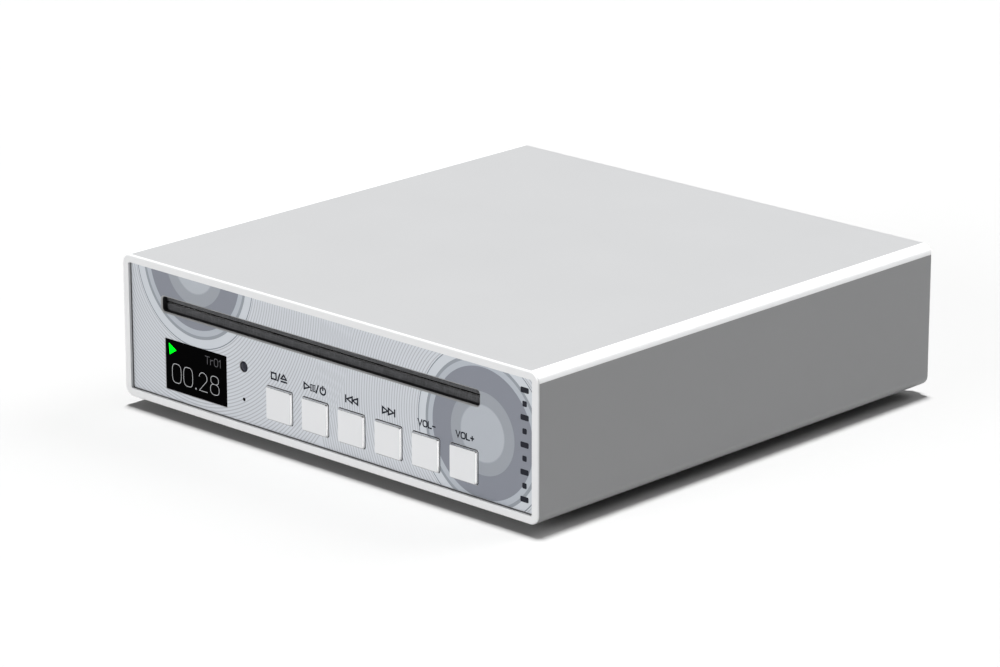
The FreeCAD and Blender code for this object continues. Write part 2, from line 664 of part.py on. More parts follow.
def make_sockets():
    """Make the three phono sockets, the optical socket with its flap, and the power inlet."""
    housings, barrels = [], []
    nose_end = s.barrel_end - s.nose_inset
    z = s.socket_height
    for x in (s.left_socket, s.right_socket, s.digital_socket):
        housing = fused(centred(x, s.socket_half, s.socket_face, rear_inside, main_top,
                                z + s.socket_half),
                        rod("y", x, rear_inside, z, s.nose_radius, nose_end - rear_inside))
        housings.append(cut(housing, rod("y", x, nose_end - s.nose_deep, z, s.nose_bore,
                                         s.nose_deep + 1)))
        shell = fused(rod("y", x, rear_inside, z, s.barrel_radius, s.barrel_end - rear_inside),
                      rod("y", x, rear_face, z, s.barrel_flange, s.barrel_flange_thick))
        barrels.append(cut(shell, rod("y", x, rear_inside - 1, z, s.barrel_radius - s.barrel_wall,
                                      s.case_deep)))
    node("phono_housings", gathered(*housings))
    node("phono_barrels", gathered(*barrels))
    make_optical_socket()
    x, z = s.power_middle, s.power_height
    inlet = fused(centred(x, s.power_half, s.socket_face, rear_inside, main_top, s.power_top),
                  rod("y", x, rear_inside, z, s.power_nose, s.power_end - rear_inside))
    bore = rod("y", x, s.power_end - s.power_deep, z, s.power_bore, s.power_deep + 1)
    node("power_inlet", cut(inlet, bore))
    node("power_pin", rod("y", x, s.power_end - s.power_deep, z, s.power_pin, s.power_deep - 1))


def make_optical_socket():
    """Make the optical socket's body and the flap that its plug pushes in."""
    x = s.optical_middle
    housing = centred(x, s.optical_half, s.socket_face + 1, s.optical_end, main_top, s.optical_top)
    port = centred(x, s.port_half, s.optical_end - s.port_deep, s.optical_end + 1,
                   s.port_low, s.port_high)
    node("optical_socket", cut(housing, port))
    half, hinge = s.port_half - s.flap_gap, s.optical_end - s.flap_axis_in
    leaf = centred(x, half, hinge - s.flap_thick / 2, hinge + s.flap_thick / 2,
                   s.port_low + s.flap_gap, s.port_high - s.flap_gap)
    pin = rod("x", x - half, hinge, s.port_high - s.flap_axis_drop, s.flap_pin, 2 * half)
    node("optical_flap", fused(leaf, pin))


def make_main_board():
    """Make the main board, what is on it, and the ribbon cable to the front board."""
    board = block(s.main_left, s.main_right, s.main_front, s.main_back, s.main_low, main_top)
    holes = [rod("z", x, y, s.main_low - 1, s.screw_bore, s.board_thick + 2)
             for x, y in main_pillars()]
    node("main_board", cut(board, *holes))
    cans = [rod("z", s.capacitor_first + s.capacitor_pitch * index, s.capacitor_y, main_top,
                s.capacitor_radius, s.capacitor_tall) for index in range(3)]
    node("capacitors", gathered(*cans))
    half = s.chip_side / 2
    chips = [centred(x, half, y - half, y + half, main_top, main_top + s.chip_thick)
             for x, y in ((s.main_left / 2, s.main_pillar_front / 2),
                          (s.main_left / 2, s.main_pillar_back / 2),
                          (s.main_right / 2, s.main_pillar_back / 2))]
    node("chips", gathered(*chips))
    middle, half = s.cable_middle, s.cable_wide / 2
    front_plug = centred(middle, half + 1, board_back, board_back + s.plug_deep,
                         main_top + 1, main_top + 1 + s.plug_tall)
    main_plug = centred(middle, half + 1, s.main_front + 1, s.main_front + 1 + s.plug_deep,
                        main_top, main_top + 1 + s.plug_tall)
    node("cable_plugs", gathered(front_plug, main_plug))
    node("ribbon_cable", centred(middle, half, board_back + s.plug_deep, s.main_front + 1,
                                 main_top + 1 + s.plug_tall / 2,
                                 main_top + 1 + s.plug_tall / 2 + s.cable_thick))
    return [("-z", x, y, main_top + s.screw_head_tall) for x, y in main_pillars()]


# --- loader --------------------------------------------------------------------------------------

def loader_lugs():
    """List the middles of the loader's four rubber-mounted lugs."""
    return [(s.bay_x + side * s.lug_x, y) for side in (-1, 1) for y in (s.lug_front, s.lug_back)]


def screw_blocks():
    """List the middles of the four blocks that take the top plate's screws."""
    inset = s.frame_half - s.frame_wall - s.block_wide / 2
    return [(s.bay_x + side * inset, y) for side in (-1, 1)
            for y in (s.block_front, s.block_back)]


def make_loader_frame():
    """Make the loader's frame: two slotted side walls, a rear wall, a front bar, lugs, blocks."""
    inner = s.frame_half - s.frame_wall
    pieces = [centred(s.bay_x, s.frame_half, s.frame_back - s.frame_wall, s.frame_back,
                      s.frame_low, s.frame_top),
              centred(s.bay_x, s.frame_half, s.bar_front, s.bar_front + s.frame_wall,
                      s.bar_low, s.bar_top)]
    holes = []
    for side in (-1, 1):
        wall = s.bay_x + side * (s.frame_half - s.frame_wall / 2)
        pieces.append(centred(wall, s.frame_wall / 2, s.frame_front, s.frame_back,
                              s.frame_low, s.frame_top))
        for y in (s.pin_front, s.pin_back):
            reach = s.pin_radius + s.pin_play
            holes.append(block(wall - s.frame_wall, wall + s.frame_wall, y - reach, y + reach,
                               s.pin_height - reach, s.pin_height + s.lift + reach))
    holes.append(rod("x", frame_left - 1, s.roller_y, s.roller_z, s.roller_bore,
                     2 * s.frame_half + 2))
    holes.append(rod("x", s.bay_x + inner - 1, s.drive_y, s.drive_z, s.drive_hole,
                     s.frame_wall + 2))
    for x, y in loader_lugs():
        pieces.append(centred(x, s.lug_wide / 2, y - s.lug_deep / 2, y + s.lug_deep / 2,
                              s.frame_low, s.frame_low + s.lug_thick))
        holes.append(rod("z", x, y, s.frame_low - 1, s.lug_hole, s.lug_thick + 2))
    for x, y in screw_blocks():
        pieces.append(centred(x, s.block_wide / 2, y - s.block_deep / 2, y + s.block_deep / 2,
                              s.block_low, s.frame_top))
        holes.append(rod("z", x, y, s.frame_top - s.screw_long, s.screw_bore, s.screw_long + 1))
    node("loader_frame", cut(fused(*pieces), *holes))


def make_loader_mounts():
    """Make the rubber dampers under the lugs and the shouldered screws through them."""
    dampers, screws = [], []
    head_low = s.frame_low + s.lug_thick
    for x, y in loader_lugs():
        dampers.append(ring(x, y, s.post_top, "z", s.damper_bore, s.damper_radius,
                            s.frame_low - s.post_top))
        screws.append(screw("-z", x, y, head_low + s.damper_head_tall, s.damper_head,
                            s.damper_head_tall, s.damper_screw, head_low - s.damper_screw_low))
    node("loader_dampers", gathered(*dampers))
    node("loader_screws", gathered(*screws))


def make_top_plate():
    """Make the loader's lid with the clamp's hole and two ribs, and the disc guide below it."""
    plate = centred(s.bay_x, s.frame_half, s.guide_front, s.frame_back,
                    s.frame_top, top_plate_high)
    ribs = [centred(s.bay_x, s.frame_half - s.block_wide * 2, y - s.rib_wide / 2,
                    y + s.rib_wide / 2, top_plate_high, top_plate_high + s.rib_tall)
            for y in (s.block_front + s.block_wide * 4, s.block_back - s.block_wide * 4)]
    holes = [rod("z", s.bay_x, s.disc_y, s.frame_top - 1, s.puck_hole, s.top_sheet + 3)]
    for x, y in screw_blocks():
        holes.append(rod("z", x, y, s.frame_top - 1, s.screw_bore, s.top_sheet + 2))
    node("top_plate", cut(fused(plate, *ribs), *holes))
    body = body_on(s.bay_x - s.guide_half, 0, 0)
    side = sketch_in(body, "YZ_Plane")
    outline(side, [(s.guide_front, s.guide_low + s.guide_bevel),
                   (s.guide_front + s.guide_bevel * 2, s.guide_low),
                   (s.guide_back - s.guide_bevel, s.guide_low),
                   (s.guide_back, s.guide_low + s.guide_bevel / 2),
                   (s.guide_back, s.frame_top), (s.guide_front, s.frame_top)])
    pad(body, side, s.guide_half * 2)
    node("disc_guide", body)
    return [("-z", x, y, top_plate_high + s.screw_head_tall) for x, y in screw_blocks()]


def make_clamp():
    """Turn the clamp that hangs in the lid's hole, and the magnet inside it."""
    profile = [(0, s.puck_recess_top), (s.puck_recess, s.puck_recess_top),
               (s.puck_recess, s.puck_low), (s.puck_radius, s.puck_low),
               (s.puck_radius, s.puck_step), (s.puck_neck, s.puck_step),
               (s.puck_neck, s.puck_neck_top), (s.puck_flange, s.puck_neck_top),
               (s.puck_flange, s.puck_top), (s.magnet_radius, s.puck_top),
               (s.magnet_radius, s.puck_top - s.magnet_thick),
               (0, s.puck_top - s.magnet_thick)]
    node("clamp_puck", turned(s.bay_x, s.disc_y, 0, "z", profile))
    node("clamp_magnet", rod("z", s.bay_x, s.disc_y, s.puck_top - s.magnet_thick,
                             s.magnet_radius, s.magnet_thick))


def make_roller():
    """Make the shaft, its collars, and the rubber roller that narrows to its middle."""
    x, y, z = s.bay_x, s.roller_y, s.roller_z
    shaft_start = x - s.roller_left
    reach = s.roller_left + s.roller_right
    collar = s.frame_half - s.frame_wall - s.collar_thick - s.gear_play
    shaft = fused(rod("x", shaft_start, y, z, s.roller_shaft, reach),
                  rod("x", x - collar - s.collar_thick, y, z, s.collar_radius, s.collar_thick),
                  rod("x", x + collar, y, z, s.collar_radius, s.collar_thick))
    node("roller_shaft", shaft)
    node("rubber_roller", turned(x, y, z, "x", [
        (s.roller_sleeve, -s.roller_half), (s.roller_end, -s.roller_half), (s.roller_waist, 0),
        (s.roller_end, s.roller_half), (s.roller_sleeve, s.roller_half)]))


def gear_radius(teeth):
    """Give a gear's pitch radius."""
    return s.gear_module * teeth / 2


def make_gear(teeth, y, z, phase, bore):
    """Pad a gear's hub and one slim tooth, then repeat the tooth around the axis."""
    radius = gear_radius(teeth)
    root = radius - s.gear_module * 1.2
    tip = radius + s.gear_module * 0.84
    body = doc.addObject("PartDesign::Body", "body")
    body.Placement = Placement(Vector(), TURN["x"] * Rotation(Vector(0, 0, 1), phase))
    place(body, s.gear_start, y, z)
    hub = sketch_in(body, "XY_Plane")
    circle(hub, 0, 0, root)
    if bore:
        circle(hub, 0, 0, bore)
    pad(body, hub, s.gear_wide)
    flank = sketch_in(body, "XY_Plane")
    foot, top = s.gear_module * 0.84, s.gear_module * 0.34
    outline(flank, [(root * 0.9, -foot), (tip, -top), (tip, top), (root * 0.9, foot)])
    tooth = pad(body, flank, s.gear_wide)
    teeth_around = body.newObject("PartDesign::PolarPattern", "teeth")
    teeth_around.Originals = [tooth]
    teeth_around.Axis = (flank, ["N_Axis"])
    teeth_around.Angle = 360
    teeth_around.Occurrences = teeth
    body.Tip = teeth_around
    return body


def angle_to(y0, z0, y1, z1):
    """Give the angle, in a gear's own plane, from one centre to another."""
    return math.degrees(math.atan2(y1 - y0, z0 - z1))


def idler_centre():
    """Find where the idler meshes with both the roller's gear and the motor's pinion."""
    near = (gear_radius(ROLLER_TEETH) + gear_radius(IDLER_TEETH) + s.gear_play).number
    far = (gear_radius(PINION_TEETH) + gear_radius(IDLER_TEETH) + s.gear_play).number
    y0, z0 = s.roller_y.number, s.roller_z.number
    y1, z1 = s.drive_y.number, s.drive_z.number
    span = math.hypot(y1 - y0, z1 - z0)
    along = (near ** 2 - far ** 2 + span ** 2) / (2 * span)
    across = math.sqrt(near ** 2 - along ** 2)
    step_y, step_z = (y1 - y0) / span, (z1 - z0) / span
    return y0 + along * step_y + across * step_z, z0 + along * step_z - across * step_y


def make_gear_train():
    """Mesh the motor's pinion, the idler and the roller's gear outside the right wall."""
    y, z = idler_centre()
    roller = (s.roller_y.number, s.roller_z.number)
    drive = (s.drive_y.number, s.drive_z.number)
    pitch = 360 / IDLER_TEETH
    roller_phase = angle_to(*roller, y, z)
    idler_phase = angle_to(y, z, *roller) + pitch / 2
    ahead = ((angle_to(y, z, *drive) - idler_phase) % pitch) / pitch
    pinion_phase = angle_to(*drive, y, z) + (ahead - 0.5) * 360 / PINION_TEETH
    node("roller_gear", make_gear(ROLLER_TEETH, s.roller_y, s.roller_z, roller_phase,
                                  s.roller_shaft))
    node("idler_gear", make_gear(IDLER_TEETH, y, z, idler_phase, s.idler_bore))
    wall = frame_right
    post = fused(rod("x", wall, y, z, s.idler_post, s.gear_start + s.gear_wide - wall + s.gear_play),
                 rod("x", wall, y, z, s.idler_head, s.gear_start - wall - s.gear_play),
                 rod("x", s.gear_start + s.gear_wide + s.gear_play, y, z, s.idler_head,
                     s.idler_head_thick))
    node("idler_post", post)
    motor_end = frame_right - s.frame_wall
    pinion = make_gear(PINION_TEETH, s.drive_y, s.drive_z, pinion_phase, None)
    shaft_start = motor_end + s.gear_play
    shaft = rod("x", shaft_start, s.drive_y, s.drive_z, s.drive_shaft,
                s.gear_start + s.gear_wide - shaft_start)
    node("motor_pinion", fused(pinion, shaft))
    node("loading_motor", rod("x", s.drive_left, s.drive_y, s.drive_z, s.drive_radius,
                              motor_end - s.drive_left))


# --- traverse ------------------------------------------------------------------------------------

def make_traverse():
    """Make the deck that lifts, with its cheeks and cam pins, and what is fixed under it."""
    x = s.bay_x
    pieces = [centred(x, s.deck_half, s.deck_front, s.deck_back, s.deck_low, deck_top)]
    for side in (-1, 1):
        cheek = x + side * (s.deck_half - s.deck_sheet / 2)
        pieces.append(centred(cheek, s.deck_sheet / 2, s.cheek_front, s.cheek_back,
                              s.cheek_low, s.deck_low))
        start = s.deck_half if side > 0 else s.pin_reach
        for y in (s.pin_front, s.pin_back):
            pieces.append(rod("x", x + side * start, y, s.pin_height, s.pin_radius,
                              s.pin_reach - s.deck_half))
    for rod_x in (x - s.guide_rod_x, x + s.guide_rod_x):
        for y in (s.rod_start, s.rod_end - s.clamp_deep):
            pieces.append(centred(rod_x, s.clamp_half, y, y + s.clamp_deep,
                                  s.clamp_low, s.deck_low))
    holes = [centred(x, s.window_half, s.window_front + 1, s.window_back - 1,
                     s.deck_low - 1, deck_top + 1),
             rod("z", x, s.disc_y, s.deck_low - 1, s.shaft_radius * 2, s.deck_sheet + 2)]
    for rod_x in (x - s.guide_rod_x, x + s.guide_rod_x):
        holes.append(rod("y", rod_x, s.rod_start - 1, s.guide_rod_z, s.guide_rod_radius,
                         s.rod_end + 2))
    node("traverse_deck", cut(fused(*pieces), *holes))
    rods = [rod("y", rod_x, s.rod_start, s.guide_rod_z, s.guide_rod_radius,
                s.rod_end - s.rod_start) for rod_x in (x - s.guide_rod_x, x + s.guide_rod_x)]
    node("guide_rods", gathered(*rods))
    node("spindle_motor", cut(rod("z", x, s.disc_y, s.motor_low, s.motor_radius,
                                  s.deck_low - s.motor_low),
                              rod("z", x, s.disc_y, s.motor_low + 1,
                                  s.shaft_radius + s.shaft_play, s.deck_low)))
    node("sled_motor", rod("y", x + s.lead_x, s.sled_front, s.guide_rod_z, s.sled_radius,
                           s.sled_back - s.sled_front))
    node("lead_screw", rod("y", x + s.lead_x, s.lead_start, s.guide_rod_z, s.lead_radius,
                           s.lead_end - s.lead_start))


def make_turntable():
    """Turn the hub that centres a disc, its shaft and the rubber ring that grips the disc."""
    x, y = s.bay_x, s.disc_y
    seat = s.table_top - s.pad_sink
    hub = turned(x, y, 0, "z", [
        (0, s.motor_low + 1.2), (s.shaft_radius, s.motor_low + 1.2),
        (s.shaft_radius, s.table_low), (s.table_radius, s.table_low),
        (s.table_radius, s.table_top), (s.pad_outer, s.table_top), (s.pad_outer, seat),
        (s.pad_inner, seat), (s.pad_inner, s.table_top), (s.hub_radius, s.table_top),
        (s.hub_radius, s.hub_top), (s.hub_tip_radius, s.hub_tip), (0, s.hub_tip)])
    node("turntable", hub)
    node("grip_ring", ring(x, y, seat, "z", s.pad_inner, s.pad_outer, s.pad_sink))


def make_pickup():
    """Make the sledge on its two rods, with the nut that the lead screw drives, and the lens."""
    x = s.bay_x
    front, back = lens_y - s.pickup_before, lens_y + s.pickup_after
    left_rod, right_rod = x - s.guide_rod_x, x + s.guide_rod_x
    pieces = [centred(x, s.pickup_half, front, back, s.pickup_low, s.pickup_top),
              rod("y", left_rod, front, s.guide_rod_z, s.bush_radius, back - front),
              block(left_rod, x - s.pickup_half, front, back, s.fork_low, s.fork_top),
              block(x + s.pickup_half, x + s.fork_reach, front, back, s.fork_low, s.fork_top),
              block(x - s.nut_reach, left_rod, lens_y - s.nut_before, lens_y + s.nut_after,
                    s.nut_low, s.nut_top)]
    reach = s.guide_rod_radius + s.fork_play
    holes = [rod("y", left_rod, front - 1, s.guide_rod_z, s.guide_rod_radius + s.rod_play,
                 back - front + 2),
             block(right_rod - reach, right_rod + s.fork_reach, front - 1, back + 1,
                   s.guide_rod_z - reach, s.guide_rod_z + reach),
             rod("y", x + s.lead_x, front - 1, s.guide_rod_z, s.lead_radius + s.nut_play,
                 back - front + 2)]
    node("pickup_sledge", cut(fused(*pieces), *holes))
    holder = centred(x, s.holder_half, lens_y - s.holder_before, lens_y + s.holder_before,
                     s.holder_low, s.holder_top)
    node("lens_holder", cut(holder, rod("z", x, lens_y, s.holder_low - 1, s.lens_radius, 3)))
    node("objective_lens", rod("z", x, lens_y, s.lens_low, s.lens_radius,
                               s.lens_top - s.lens_low))


def make_cam_slide():
    """Make the plate that lifts the deck: two sides with sloping slots, joined at the back."""
    inner = s.frame_half + s.cam_gap
    outer = inner + s.cam_sheet
    pieces = [centred(s.bay_x, outer, s.cam_arm_back - s.cam_sheet, s.cam_arm_back,
                      s.cam_arm_low, s.cam_arm_top)]
    slots = []
    reach = s.pin_radius + s.pin_play
    run = s.lift * s.cam_ratio
    for side in (-1, 1):
        middle = s.bay_x + side * (inner + s.cam_sheet / 2)
        pieces.append(centred(middle, s.cam_sheet / 2, s.cam_front, s.cam_back,
                              s.cam_low, s.cam_top))
        pieces.append(centred(middle, s.cam_sheet / 2, s.cam_arm_front, s.cam_arm_back,
                              s.cam_arm_low, s.cam_arm_top))
        for y in (s.pin_front, s.pin_back):
            slots.append(sloping_slot(middle - s.cam_sheet, y, reach, run))
    node("cam_slide", cut(fused(*pieces), *slots))


def sloping_slot(x, y, reach, run):
    """Make the cutter for one cam slot: a slanted bar with round ends, along X."""
    body = body_on(x, y, s.pin_height)
    sketch = sketch_in(body, "YZ_Plane")
    slope = math.hypot(run.number, s.lift.number)
    across_y = reach * (s.lift.number / slope)
    across_z = reach * (run.number / slope)
    outline(sketch, [(-across_y, -across_z), (-run - across_y, s.lift - across_z),
                     (-run + across_y, s.lift + across_z), (across_y, across_z)])
    pad(body, sketch, s.cam_sheet * 2)
    ends = [rod("x", x, y, s.pin_height, reach, s.cam_sheet * 2),
            rod("x", x, y - run, s.pin_height + s.lift, reach, s.cam_sheet * 2)]
    return fused(body, *ends)


# --- the whole player ----------------------------------------------------------------------------

make_sleeve()
make_front_panel()
make_display()
make_slot_felts()
for name, x in button_middles():
    make_button(name, x)
make_pillars()
screw_places = make_front_board()
screw_places += make_tray()
make_feet()
make_rear_panel()
make_sockets()
screw_places += make_main_board()
make_loader_frame()
make_loader_mounts()
screw_places += make_top_plate()
make_clamp()
make_roller()
make_gear_train()
make_traverse()
make_turntable()
make_pickup()
make_cam_slide()
node("small_screws", gathered(*[screw(*at, s.screw_head, s.screw_head_tall, s.screw_radius,
                                      s.screw_long - s.screw_head_tall) for at in screw_places]))
doc.recompute()

for thing in doc.Objects:
    if "Invalid" in thing.State or "Error" in thing.State:
        raise RuntimeError(f"{thing.Name} ({thing.Label}) could not be built: {thing.State}")
for thing in NODES:
    if thing.Shape.isNull() or not thing.Shape.isValid() or not thing.Shape.Solids:
        raise RuntimeError(f"{thing.Label} has no valid solid")

os.makedirs("parts", exist_ok=True)
for thing in NODES:
    thing.Shape.exportStep(f"parts/{thing.Label}.step")
print(f"{len(NODES)} sub-parts written")
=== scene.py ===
"""The looks of a slot-loading CD player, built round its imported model.

Everything is in metres in the row's frame: +X to the right seen from the front, +Y to the back,
+Z up, with the origin on the floor under the middle of the player. Sizes inside the classes are
in millimetres, and MM turns them into metres.
"""
import json
import logging
import math
from dataclasses import dataclass, field
from enum import Enum, IntEnum
from typing import Iterable, Optional, Sequence

import bpy
import numpy as np
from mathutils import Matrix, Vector
from mathutils.geometry import tessellate_polygon


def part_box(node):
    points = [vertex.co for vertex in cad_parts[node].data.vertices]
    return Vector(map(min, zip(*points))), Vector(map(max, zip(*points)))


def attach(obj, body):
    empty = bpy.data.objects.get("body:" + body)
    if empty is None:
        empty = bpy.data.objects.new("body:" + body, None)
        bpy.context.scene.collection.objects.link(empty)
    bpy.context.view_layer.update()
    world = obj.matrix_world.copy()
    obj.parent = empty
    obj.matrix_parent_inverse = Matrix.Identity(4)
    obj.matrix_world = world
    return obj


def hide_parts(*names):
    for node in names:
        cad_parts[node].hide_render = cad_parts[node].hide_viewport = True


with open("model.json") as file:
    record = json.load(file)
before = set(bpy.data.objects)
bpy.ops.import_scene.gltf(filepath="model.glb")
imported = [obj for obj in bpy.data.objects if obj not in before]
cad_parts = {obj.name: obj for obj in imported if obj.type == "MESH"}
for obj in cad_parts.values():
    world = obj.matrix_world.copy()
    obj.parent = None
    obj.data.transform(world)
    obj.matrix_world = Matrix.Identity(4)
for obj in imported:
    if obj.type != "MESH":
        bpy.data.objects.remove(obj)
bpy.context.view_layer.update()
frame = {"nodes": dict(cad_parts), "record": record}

MM = 0.001
MICRON = 1e-6
CLOUDS_PER_METRE = 28.0
WELD_STEPS_PER_METRE = 1e7
LEAST_RADIUS = 0.02
LEAST_LEAD = 1e-4
log = logging.getLogger("cd_player")
Tone = tuple[float, float, float]
Socket = bpy.types.NodeSocket


class Axis(Enum):
    """A line that a turned piece is turned about."""

    ALONG_Y = "y"
    ALONG_Z = "z"


class Reading(Enum):
    """Which way letters on an upright face are read from."""

    FROM_FRONT = 1
    FROM_BEHIND = -1


class CasingPaint(IntEnum):
    """The casing's finishes, in the order of its materials."""

    METAL = 0
    # front rim and the inside just behind it: a brighter copy of the casing metal, painted light
    PAINTED_LIGHT_RIM = 1
    # two upper long edges: a much brighter copy of the casing metal, a painted highlight
    PAINTED_HIGHLIGHT = 2
    # dark band on the inner wall round the plate: painted shadow
    PAINTED_SHADOW = 3


class PlatePaint(IntEnum):
    """The front plate's finishes, in the order of its materials."""

    PRINT = 0
    LIP = 1
    BLACK = 2


class KeyPaint(IntEnum):
    """A key's finishes, in the order of its materials."""

    FACE = 0
    CUT = 1


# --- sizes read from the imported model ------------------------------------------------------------

def low(node: str) -> np.ndarray:
    """Give the lowest corner of a CAD node at rest, in millimetres."""
    return np.array(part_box(node)[0]) / MM


def high(node: str) -> np.ndarray:
    """Give the highest corner of a CAD node at rest, in millimetres."""
    return np.array(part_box(node)[1]) / MM


def middle(node: str) -> np.ndarray:
    """Give the middle of a CAD node's box at rest, in millimetres."""
    return (low(node) + high(node)) / 2


# --- surfaces ------------------------------------------------------------------------------------

@dataclass(frozen=True)
class Outline:
    """A closed outline in a plane: a rectangle with round corners, or a circle.

    Attributes:
        u: Middle of the outline along the plane's first direction.
        v: Middle along the second direction.
        half_u: Half the width.
        half_v: Half the height.
        radius: Corner radius; equal to both halves for a circle.
        steps: Arc steps in each corner.
        lead: Length of the short cell where each straight run meets its arc.
    """

    u: float
    v: float
    half_u: float
    half_v: float
    radius: float
    steps: int = 8
    lead: float = 0.15

    def ring(self, inset: float = 0.0) -> np.ndarray:
        """Work out the outline moved inwards.

        With r = radius - inset, or LEAST_RADIUS where that is more, corner k has its centre at
        (u +- (half_u - inset - r), v +- (half_v - inset - r)) and runs through
        centre + r (cos t, sin t) for t over its quarter turn, with one more point on each
        straight run just before and just after the arc.

        Args:
            inset: How far inwards, or outwards where it is negative.

        Returns:
            The points as an (n, 2) array, anticlockwise seen with u right and v up.
        """
        r = max(self.radius - inset, LEAST_RADIUS)
        du, dv = self.half_u - inset - r, self.half_v - inset - r
        turn = np.linspace(0.0, np.pi / 2, self.steps + 1)
        lead = min(self.lead, 0.3 * max(min(du, dv), 0.0))
        parts = []
        for k, (su, sv) in enumerate(((1, 1), (-1, 1), (-1, -1), (1, -1))):
            t = turn + k * np.pi / 2
            arc = np.stack([su * du + r * np.cos(t), sv * dv + r * np.sin(t)], axis=1)
            if lead > LEAST_LEAD:
                along_in = np.array([math.sin(t[0]), -math.cos(t[0])]) * lead
                along_out = np.array([-math.sin(t[-1]), math.cos(t[-1])]) * lead
                arc = np.vstack([arc[0] + along_in, arc, arc[-1] + along_out])
            parts.append(arc)
        return np.vstack(parts) + np.array([self.u, self.v])


def circle(u: float, v: float, radius: float, steps: int = 8) -> Outline:
    """Give a circle as an outline."""
    return Outline(u, v, radius, radius, radius, steps, 0.0)


def outline_of(node: str, corner: float, steps: int, lead: float = 0.15) -> Outline:
    """Give the upright outline of a CAD node's box, seen from the front.

    Args:
        node: The CAD node.
        corner: Corner radius.
        steps: Arc steps in each corner.
        lead: Length of the short cell where each straight run meets its arc.

    Returns:
        The outline in x and z.
    """
    at, half = middle(node), (high(node) - low(node)) / 2
    return Outline(at[0], at[2], half[0], half[2], corner, steps, lead)


def rounding(radius: float, inset: float, depth: float, steps: int = 4) -> list[tuple]:
    """Work out a rounded rim as (inset, depth) pairs from the wall to the face.

    The pairs are (inset + radius (1 - cos t), depth + radius (1 - sin t)) for t from 0 to 90
    degrees, so the rim starts upright on the wall and ends flat in the face.

    Args:
        radius: Radius of the rim; below zero it turns outwards, as round a hole.
        inset: Inset of the wall.
        depth: Depth of the face.
        steps: Arc steps.

    Returns:
        The pairs, wall first.
    """
    t = np.linspace(0.0, np.pi / 2, steps + 1)
    return [(inset + radius * (1 - math.cos(a)), depth + abs(radius) * (1 - math.sin(a)))
            for a in t]


